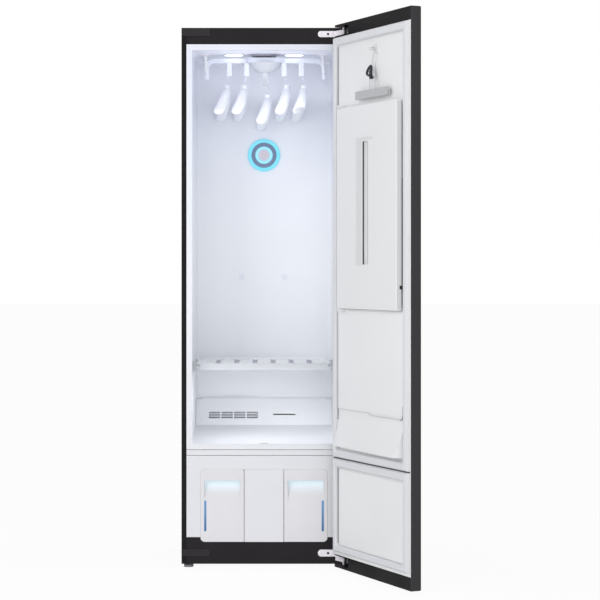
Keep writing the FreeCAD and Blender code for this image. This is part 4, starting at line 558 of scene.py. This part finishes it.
def copies(piece, places):
    """The piece repeated at each place, as one mesh; the first place is the piece's own."""
    made = [piece]
    for place in places[1:]:
        take(piece)
        bpy.ops.object.duplicate()
        other = bpy.context.object
        bpy.ops.transform.translate(value=Vector(place) - Vector(places[0]))
        apply_place()
        made.append(other)
    return join(piece.name, made)


def eased_node(node, width, finish, body="cabinet", segments=2, angle=35.0):
    """A copy of a node with its sharp edges rounded, which stands for the node."""
    piece = bpy.data.objects.new(node + "_eased", nodes[node].data.copy())
    bpy.context.scene.collection.objects.link(piece)
    take(piece)
    bpy.ops.object.mode_set(mode="EDIT")
    bpy.ops.mesh.select_all(action="SELECT")
    bpy.ops.mesh.remove_doubles(threshold=0.00001)
    bpy.ops.mesh.customdata_custom_splitnormals_clear()
    bpy.ops.mesh.dissolve_limited(angle_limit=math.radians(0.6))
    done()
    ease(piece, width, segments, angle)
    return settle(piece, finish, body, (node,))


def coat(finish, *names):
    """Gives nodes that stay as they are their finish."""
    for name in names:
        nodes[name].data.materials.clear()
        nodes[name].data.materials.append(FINISHES[finish].material)


# ---- case
def make_case():
    for side in ("left", "right"):
        eased_node(f"side_panel_{side}", 0.5, "case")
    eased_node("top_cover", 0.5, "case")
    eased_node("front_rails", 0.6, "rail")
    eased_node("corner_covers", 0.8, "blank")
    coat("zinc", "rear_cover", "base_tray")
    coat("foot", "rear_feet")
    eased_node("divider_bar", 0.6, "front")
    eased_node("lower_front_panel", 0.6, "front")
    eased_node("centre_cover", 1.2, "front")
    # the tank bay's grey is painted shade in the gaps round the tanks
    coat("bay", "tank_bay")
    for side in ("left", "right"):
        coat("foot", f"front_foot_{side}")
    make_rear_screws()
    make_louvres()


def screw_head(name, place, radius, outward):
    """A domed head with a hexagonal socket, facing out along Y."""
    head = round_bar(name, place, radius, 2.4, "Y", 24)
    choose(head, lambda centre, normal: normal.y * outward > 0.9)
    bpy.ops.mesh.inset(thickness=radius * 0.28 * MM, depth=0.5 * MM)
    bpy.ops.mesh.inset(thickness=radius * 0.24 * MM)
    extrude(0, -outward * 1.3, 0)
    done()
    ease(head, 0.25, 2)
    return head


def make_rear_screws():
    places = []
    for z in (60, 420, 780, 1140, 1500, 1900):
        for x in (-288, 288):
            places.append(point(x, REAR_FACE, z))
    for x in (-140, 0, 140):
        places.append(point(x, REAR_FACE, 1930))
    screws = copies(screw_head("rear_screws", places[0], 5.0, 1), places)
    settle(screws, "hinge")


def make_louvres():
    """Small hoods over the slots in the rear cover."""
    hood = block("rear_louvres", point(-215, 523.7, 155), point(-151, 525, 158))
    choose(hood, lambda centre, normal: normal.y > 0.9)
    extrude(0, 0.9, -1.2)
    done()
    ease(hood, 0.3, 2)
    places = []
    for column in range(4):
        for row in range(9):
            places.append((MM * column * 78, 0, MM * row * 12))
    settle(copies(hood, places), "zinc")


# ---- chamber
def make_chamber():
    coat("liner", "chamber_liner")
    eased_node("duct_cover", 0.7, "liner")
    coat("filter", "lint_filter")
    make_duct_ends()
    coat("bracket", "shelf_supports")
    eased_node("shelf", 1.0, "shelf", "shelf")
    make_shelf_slot_shadows()
    coat("lamp", "lamp_lenses")
    make_lamp_rims()
    make_grille_mesh()
    make_ceiling_slots()
    make_drain()


def make_shelf_slot_shadows():
    """Grey plates in the shelf's six slots that paint the shadow inside them."""
    half_pitch, half_width = 34.0, 8.6
    slots = []
    for step in range(-5, 6, 2):
        x = step * half_pitch
        low, high = point(x - half_width, 112, 735.3), point(x + half_width, 406, 736.9)
        slot = block("shelf_slot_shadow_plates", low, high)
        ease(slot, 0.4, 2)
        slots.append(slot)
    settle(join("shelf_slot_shadow_plates", slots), "slot", "shelf")


def make_duct_ends():
    """Soft seals that close the gaps between the duct cover's ends and the chamber's sides."""
    seals = []
    for side in (-1, 1):
        low, high = sorted((side * 238.5, side * 261.4))
        seal = block("duct_end_seals", point(low, 401, 486), point(high, 446, 582))
        for vertex in seal.data.vertices:
            if vertex.co.z > 0.55 and vertex.co.y < FRONT * MM + 0.42:
                vertex.co.y = (FRONT + 443) * MM
        ease(seal, 1.0, 3)
        seals.append(seal)
    settle(join("duct_end_seals", seals), "liner")


def make_lamp_rims():
    """A thin bezel round each ceiling lamp."""
    rims = []
    for x in (-113, 113):
        rim = round_bar("lamp_rims", point(x, 240, CEILING - 1.0), 39.0, 2.0, "Z", 64)
        choose(rim, lambda centre, normal: abs(normal.z) > 0.9)
        bpy.ops.mesh.inset(thickness=4.2 * MM)
        bpy.ops.mesh.bridge_edge_loops()
        done()
        ease(rim, 0.5, 2)
        rims.append(rim)
    settle(join("lamp_rims", rims), "support")


def make_grille_mesh():
    """The filter cloth that shows between the grille's bars; its grey is painted shade of the duct behind."""
    cloth = block("grille_mesh", point(-214, 434, 508), point(-20, 435, 540))
    take(cloth)
    bpy.ops.object.mode_set(mode="EDIT")
    bpy.ops.mesh.select_all(action="SELECT")
    bpy.ops.mesh.subdivide(number_cuts=6)
    done()
    ease(cloth, 0.2, 1)
    settle(cloth, "shadow")


def make_ceiling_slots():
    """Recessed slots in the ceiling behind the rail's arms, grey as painted shade."""
    slots = []
    for x in (-220, 222):
        slot = block("ceiling_slots", point(x - 16, 318, CEILING - 0.8), point(x + 16, 330, CEILING + 1))
        choose(slot, lambda centre, normal: normal.z < -0.9)
        bpy.ops.mesh.inset(thickness=1.2 * MM)
        extrude(0, 0, 0.7)
        done()
        ease(slot, 0.2, 2)
        slots.append(slot)
    settle(join("ceiling_slots", slots), "shadow")


def make_drain():
    """The strainer in the drip channel."""
    strainer = round_bar("drain_strainer", point(0, 28, 447.8), 17.0, 1.6, "Z", 48)
    choose(strainer, lambda centre, normal: normal.z > 0.9)
    bpy.ops.mesh.inset(thickness=3.0 * MM)
    extrude(0, 0, -0.8)
    bpy.ops.mesh.inset(thickness=5.0 * MM)
    extrude(0, 0, 0.8)
    done()
    ease(strainer, 0.25, 2)
    settle(strainer, "support")


def make_nozzle():
    coat("ring", "nozzle_light_ring")
    coat("bezel", "nozzle_bezel")
    coat("cap", "nozzle_cap")


# ---- rail and hangers
def make_rail():
    eased_node("hanger_rail", 1.6, "bar", "rail", 3)
    coat("dome", "rail_cover")
    coat("arm", "swing_arm_left", "swing_arm_right")
    coat("hinge", "swing_brackets")
    coat("drive", "drive_motor", "drive_crank")


def hanger_arm(name):
    """The contoured body of a hanger, with the top of its neck at the origin."""
    drop_all()
    y, x, down, wide, tall = HANGER_SECTIONS[0]
    bpy.ops.mesh.primitive_circle_add(vertices=16, radius=MM, fill_type="NGON",
                                      location=(x * MM, y * MM, -down * MM),
                                      rotation=(math.pi / 2, 0, 0))
    piece = bpy.context.object
    piece.name = name
    piece.scale = (wide, tall, 1)
    apply_place()
    before = HANGER_SECTIONS[0]
    for section in HANGER_SECTIONS[1:]:
        end = before[0] * MM
        choose(piece, lambda centre, normal: abs(centre.y - end) < 1e-5 and abs(normal.y) > 0.5)
        extrude(section[1] - before[1], section[0] - before[0], before[2] - section[2])
        middle = (section[1] * MM, section[0] * MM, -section[2] * MM)
        growth = (section[3] / before[3], 1, section[4] / before[4])
        bpy.ops.transform.resize(value=growth, center_override=middle)
        done()
        before = section
    take(piece)
    bpy.ops.object.mode_set(mode="EDIT")
    bpy.ops.mesh.select_all(action="SELECT")
    bpy.ops.mesh.normals_make_consistent(inside=False)
    done()
    modify(piece, "SUBSURF", levels=2, render_levels=2)
    smooth(piece, 60)
    return piece


def hanger_neck():
    """The collar between a hanger's body and its hook."""
    neck = round_bar("neck", (0, 0, -9.5 * MM), 11.5, 21.0, "Z", 32)
    choose(neck, lambda centre, normal: normal.z > 0.9)
    bpy.ops.mesh.inset(thickness=2.5 * MM, depth=0.8 * MM)
    bpy.ops.mesh.inset(thickness=4.5 * MM, depth=1.2 * MM)
    done()
    ease(neck, 1.0, 3)
    return neck


def wire(name, points, radius, resolution=10):
    """A bent wire along a smooth line through control points in millimetres."""
    curve = bpy.data.curves.new(name, "CURVE")
    curve.dimensions = "3D"
    curve.bevel_depth = radius * MM
    curve.bevel_resolution = 4
    curve.use_fill_caps = True
    curve.resolution_u = resolution
    line = curve.splines.new("NURBS")
    line.points.add(len(points) - 1)
    for knot, place in zip(line.points, points):
        knot.co = (*(Vector(place) * MM), 1.0)
    line.order_u = 3
    line.use_endpoint_u = True
    piece = bpy.data.objects.new(name, curve)
    bpy.context.scene.collection.objects.link(piece)
    take(piece)
    bpy.ops.object.convert(target="MESH")
    piece = bpy.context.object
    take(piece)
    bpy.ops.object.shade_smooth()
    return piece


def make_hangers():
    for number, place in enumerate(HANGER_PLACES, 1):
        lean = math.copysign(HANGER_LEAN, place)
        pin = SIDE_PIN if place else CENTRE_PIN
        x = place + RAIL_PARK
        top = Vector((x + lean, RAIL_Y, pin - NECK_DROP)) * MM
        body = join(f"garment_hanger_body_{number}", [hanger_arm("arm"), hanger_neck()])
        body.location = top
        take(body)
        apply_place()
        r = HOOK_RADIUS
        points = [(x, RAIL_Y + r, pin - 1), (x, RAIL_Y + r, pin + 2.6), (x, RAIL_Y + 2.6, pin + r + 0.4),
                  (x, RAIL_Y - 2.6, pin + r + 0.4), (x, RAIL_Y - r, pin + 2.6), (x, RAIL_Y - r, pin - 8),
                  (x, RAIL_Y - r, pin - 12), (x + lean, RAIL_Y, pin - 34), (x + lean, RAIL_Y, pin - 52)]
        hook = wire(f"garment_hanger_hook_{number}", points, HOOK_WIRE)
        settle(body, "hanger", f"hanger_{number}", (f"garment_hanger_{number}",))
        settle(hook, "bar", f"hanger_{number}")


# ---- tanks
def make_tanks():
    for side, node in ((-1, "supply_tank"), (1, "drain_tank")):
        eased_node(node, 1.6, "tank", node, 3)
        x = sorted((side * 209.5, side * 217.5))
        window = block(node + "_window", point(x[0], -2.6, 132), point(x[1], -1.4, 243))
        choose(window, lambda centre, normal: normal.y < -0.9)
        bpy.ops.mesh.inset(thickness=1.6 * MM)
        extrude(0, -0.5, 0)
        done()
        ease(window, 0.5, 3)
        settle(window, "window", node)


# ---- hinges
def make_hinges():
    eased_node("hinge_brackets", 0.6, "hinge")
    coat("hinge", "hinge_pins")
    places = [point(x, -3.8, z) for z in PLATE_HEIGHTS for x in PLATE_SCREWS_X]
    heads = copies(screw_head("hinge_screw_heads", places[0], 6.0, -1), places)
    settle(heads, "hinge", stands_for=("hinge_screws",))
    plugs = []
    for z in PLATE_HEIGHTS:
        plug = round_bar("hinge_plate_plug", point(PLATE_PLUG_X, -1.4, z), 4.4, 2.4, "Y", 24)
        choose(plug, lambda centre, normal: normal.y < -0.9)
        bpy.ops.mesh.inset(thickness=1.0 * MM)
        extrude(0, 0.9, 0)
        done()
        ease(plug, 0.2, 2)
        plugs.append(plug)
    settle(join("hinge_plate_plugs", plugs), "black")


# ---- door
def make_door():
    eased_node("door_glass", 0.8, "mirror", "door")
    eased_node("door_frame", 0.8, "door_steel", "door")
    eased_node("door_liner", 2.0, "door_plastic", "door", 3)
    eased_node("door_fittings", 0.6, "fitting", "door")
    eased_node("press_panel", 1.5, "press", "press", 3)
    eased_node("press_latch", 0.8, "press", "latch")
    coat("wire", "trouser_hanger")
    coat("clamp", "clamp_bar")
    eased_node("clamp_lever", 1.2, "lever", "clamp_lever", 3)
    make_gasket("upper_gasket", 408, 1918, 30, ("door_gaskets",))
    make_gasket("lower_gasket", 68.5, 403.5, 24, ())
    make_door_shadow_lines()
    make_press_shadows()
    make_lever_arms()


def make_gasket(name, low, high, low_bar, stands_for):
    """A bellows gasket: a broad foot, a waist and a rounded magnet strip."""
    s0, s1 = GASKET_ENDS
    width = GASKET_WIDTH
    ring = block(name, shut(s1, 0, low), shut(s0, 4.5, high))
    inner = shut(s1 - width, 0, low + low_bar), shut(s0 + width, 0, high - width)
    choose(ring, lambda centre, normal: abs(normal.y) > 0.9)
    bpy.ops.mesh.inset(thickness=width * MM)
    done()
    for vertex in ring.data.vertices:
        place = vertex.co
        if inner[0].x - 1e-4 < place.x < inner[1].x + 1e-4 and place.z < (low + width + 1) * MM:
            place.z = (low + low_bar) * MM
    choose(ring, lambda centre, normal: (abs(normal.y) > 0.9 and inner[0].x < centre.x < inner[1].x
                                         and inner[0].z < centre.z < inner[1].z))
    bpy.ops.mesh.bridge_edge_loops()
    for thick, rise in GASKET_STEPS:
        done()
        top = max(vertex.co.y for vertex in ring.data.vertices)
        choose(ring, lambda centre, normal: centre.y > top - 1e-5 and normal.y > 0.9)
        if thick:
            bpy.ops.mesh.inset(thickness=thick * MM, depth=rise * MM)
        else:
            extrude(0, rise, 0)
    done()
    ease(ring, 1.0, 3)
    settle(swing(ring), "gasket", "door", stands_for)


def door_strips(name, finish, slot, body, *boxes, soft=0.3):
    """Thin eased strips on the door, as one piece; each box is an s, a p and a z range."""
    strips = []
    for (s0, s1), (p0, p1), (z0, z1) in boxes:
        strip = block(name, shut(s1, p0, z0), shut(s0, p1, z1))
        ease(strip, soft, 2)
        strips.append(strip)
    return settle(swing(join(name, strips)), finish, body)


def door_wires(name, finish, slot, body, *lines):
    """Thin round beads on the door, as one piece; each line is a radius, a p and its s and z points."""
    beads = []
    for radius, p, places in lines:
        beads.append(wire(name, [tuple(shut(s, p, z) / MM) for s, z in places], radius))
    return settle(swing(join(name, beads)), finish, body)


def make_door_shadow_lines():
    """Painted shadow lines as thin beads: dark in the gap between the two gaskets, dark along the gaskets'
    inner edge on the hinge side, pale along the raised layer's lower edge and dark at its corner.
    """
    # painted shadow in the gap between the gaskets
    door_strips("gasket_gap_shadow", "black", "lever_black", "door", ((7, 593), (0.4, 7.5), (403.7, 407.8)))
    # painted shadow line along the gaskets' inner edge on the hinge side
    door_strips("gasket_edge_shadows", "dark_shadow_line", "gasket_rubber", "door",
                (EDGE_SHADOW_S, EDGE_SHADOW_P, (1664, 1884)), (EDGE_SHADOW_S, EDGE_SHADOW_P, (545, 938)),
                (EDGE_SHADOW_S, EDGE_SHADOW_P, (100, 370)))
    # painted soft shadow under the raised layer's lower edge
    door_wires("layer_edge_shadow", "pale_shadow_line", "gasket_rubber", "door",
               (1.6, 6.2, [(46, 584.6), (240, 584.6), (290, 584.6), (300, 577), (320, 577), (520, 577),
                           (546, 577)]))
    # painted shadow at the raised layer's rounded corner
    door_wires("layer_corner_shadow", "dark_shadow_line", "gasket_rubber", "door",
               (1.5, 10.4, [(540, 577), (552, 578), (559, 584), (561, 596), (561, 624)]))


def make_press_shadows():
    """Painted shadow as strips: black on the hinge-side wall of the press's finger slot, grey along its other
    rim, and black in the gap behind the press's free edge.
    """
    # painted shadow on the slot's hinge-side wall
    door_strips("press_grip_shadow", "black", "press_plastic", "press", ((299.05, 300.1), (28.6, 33.6), GRIP_Z))
    # painted shade line along the slot's other rim
    door_strips("press_grip_rim_shadow", "dark_shadow_line", "press_plastic", "press", ((339.2, 341.6), (32.5, 34.35), GRIP_Z))
    # painted shadow in the gap behind the press's free edge
    door_strips("press_edge_shadow", "black", "press_plastic", "press",
                ((552, 561.5), (8.3, 13.0), (1300, 1391)), ((552, 561.3), (9.6, 12.1), (1030, 1302)),
                ((556, 561.4), (9.0, 22.0), (1017, 1030)))


def make_lever_arms():
    """The lever's curled finger loops, and a black strip that paints the shadow in the slit between the
    clamp's jaws at its end.
    """
    door_wires("clamp_lever_loops", "lever", "lever_black", "clamp_lever",
               (4.2, 27.0, [(352, 1786), (335, 1783), (322, 1768), (319, 1761), (328, 1755), (343, 1754)]),
               (3.2, 27.5, [(340, 1767), (352, 1760), (361, 1755)]))
    # painted shadow in the slit between the clamp's jaws
    door_strips("clamp_slit_shadow", "black", "lever_black", "trouser_hanger",
                ((468, 475.2), (21.1, 22.4), (1678, 1696)))


# ---- hidden machinery
def make_machinery():
    coat("compressor", "compressor")
    coat("coil", "heat_exchangers")
    coat("fan", "fan_housing", "fan_rotor")
    coat("machine", "fan_motor", "steam_generator", "water_pumps", "control_box")
    coat("hose", "steam_hose")
    coat("black", "power_inlet")


# ---- surroundings
def make_room():
    drop_all()
    bpy.ops.mesh.primitive_plane_add(size=60, location=(0, 20, 0))
    floor = bpy.context.object
    floor.name = "floor"
    finish = Finish("pale_floor", 0.9)
    finish.set("Base Color", (0.9, 0.9, 0.9))
    tree = finish.tree
    ray = tree.nodes.new("ShaderNodeLightPath")
    light = tree.nodes.new("ShaderNodeEmission")
    light.inputs["Strength"].default_value = 1.0
    mix = tree.nodes.new("ShaderNodeMixShader")
    seen = Value(finish, ray.outputs["Is Camera Ray"])
    glossy = Value(finish, ray.outputs["Is Glossy Ray"])
    seen = finish.node("ShaderNodeMath", {"operation": "MAXIMUM"}, seen, glossy)
    finish.plug(mix.inputs[0], 0.94 * seen)
    tree.links.new(finish.shader.outputs[0], mix.inputs[1])
    tree.links.new(light.outputs[0], mix.inputs[2])
    tree.links.new(mix.outputs[0], tree.nodes["Material Output"].inputs["Surface"])
    floor.data.materials.append(finish.material)

    world = bpy.data.worlds.new("studio")
    bpy.context.scene.world = world
    world.use_nodes = True
    tree = world.node_tree
    ground = tree.nodes["Background"]
    ray = tree.nodes.new("ShaderNodeLightPath")
    white = tree.nodes.new("ShaderNodeBackground")
    white.inputs["Color"].default_value = (1, 1, 1, 1)
    white.inputs["Strength"].default_value = 1.0
    ground.inputs["Color"].default_value = (0.97, 0.98, 1.0, 1)
    ground.inputs["Strength"].default_value = 0.60
    seen = tree.nodes.new("ShaderNodeMath")
    seen.operation = "MAXIMUM"
    tree.links.new(ray.outputs["Is Camera Ray"], seen.inputs[0])
    tree.links.new(ray.outputs["Is Glossy Ray"], seen.inputs[1])
    both = tree.nodes.new("ShaderNodeMath")
    both.operation = "MAXIMUM"
    tree.links.new(seen.outputs[0], both.inputs[0])
    tree.links.new(ray.outputs["Is Transmission Ray"], both.inputs[1])
    mix = tree.nodes.new("ShaderNodeMixShader")
    tree.links.new(both.outputs[0], mix.inputs[0])
    tree.links.new(ground.outputs[0], mix.inputs[1])
    tree.links.new(white.outputs[0], mix.inputs[2])
    tree.links.new(mix.outputs[0], tree.nodes["World Output"].inputs["Surface"])


def soft_light(name, place, aim, size, power):
    data = bpy.data.lights.new(name, "AREA")
    data.shape = "RECTANGLE"
    data.size, data.size_y = size
    data.energy = power
    lamp = bpy.data.objects.new(name, data)
    bpy.context.scene.collection.objects.link(lamp)
    lamp.visible_camera = False
    lamp.visible_glossy = False
    lamp.location = place
    lamp.rotation_euler = (Vector(aim) - Vector(place)).to_track_quat("-Z", "Y").to_euler()


def make_lights():
    soft_light("key", (-3.4, -5.2, 3.0), (0, 0, 1.0), (2.5, 2.5), 105)
    soft_light("fill", (2.5, -5.0, 1.6), (0, 0, 1.0), (3.0, 3.0), 22)
    soft_light("front", (0, -6.5, 1.0), (0, 0, 1.0), (3.0, 3.0), 55)
    soft_light("ceiling_wash", (0, -0.03, 1.80), (0, 0.01, 1.9), (0.46, 0.36), 0.2)
    soft_light("wall_wash", (0.02, -0.258, 1.34), (-0.28, 0.22, 1.34), (0.36, 0.98), 0.75)
    soft_light("floor_wash", (0, -0.255, 0.64), (0, 0.0, 0.50), (0.45, 0.08), 0.47)


def make_camera():
    data = bpy.data.cameras.new("camera")
    data.sensor_width = SENSOR
    data.lens = FOCAL_LENGTH / PICTURE * SENSOR
    data.shift_x = (PICTURE / 2 - LOOK_AT[0]) / PICTURE
    data.shift_y = -(PICTURE / 2 - LOOK_AT[1]) / PICTURE
    camera = bpy.data.objects.new("camera", data)
    bpy.context.scene.collection.objects.link(camera)
    camera.location = (0, -7.5165, 1.096)
    camera.rotation_euler = (math.pi / 2, 0, 0)
    bpy.context.scene.camera = camera


make_camera()
make_case()
make_chamber()
make_nozzle()
make_rail()
make_hangers()
make_tanks()
make_hinges()
make_door()
make_machinery()
make_room()
make_lights()
bpy.context.scene.view_settings.view_transform = "Standard"
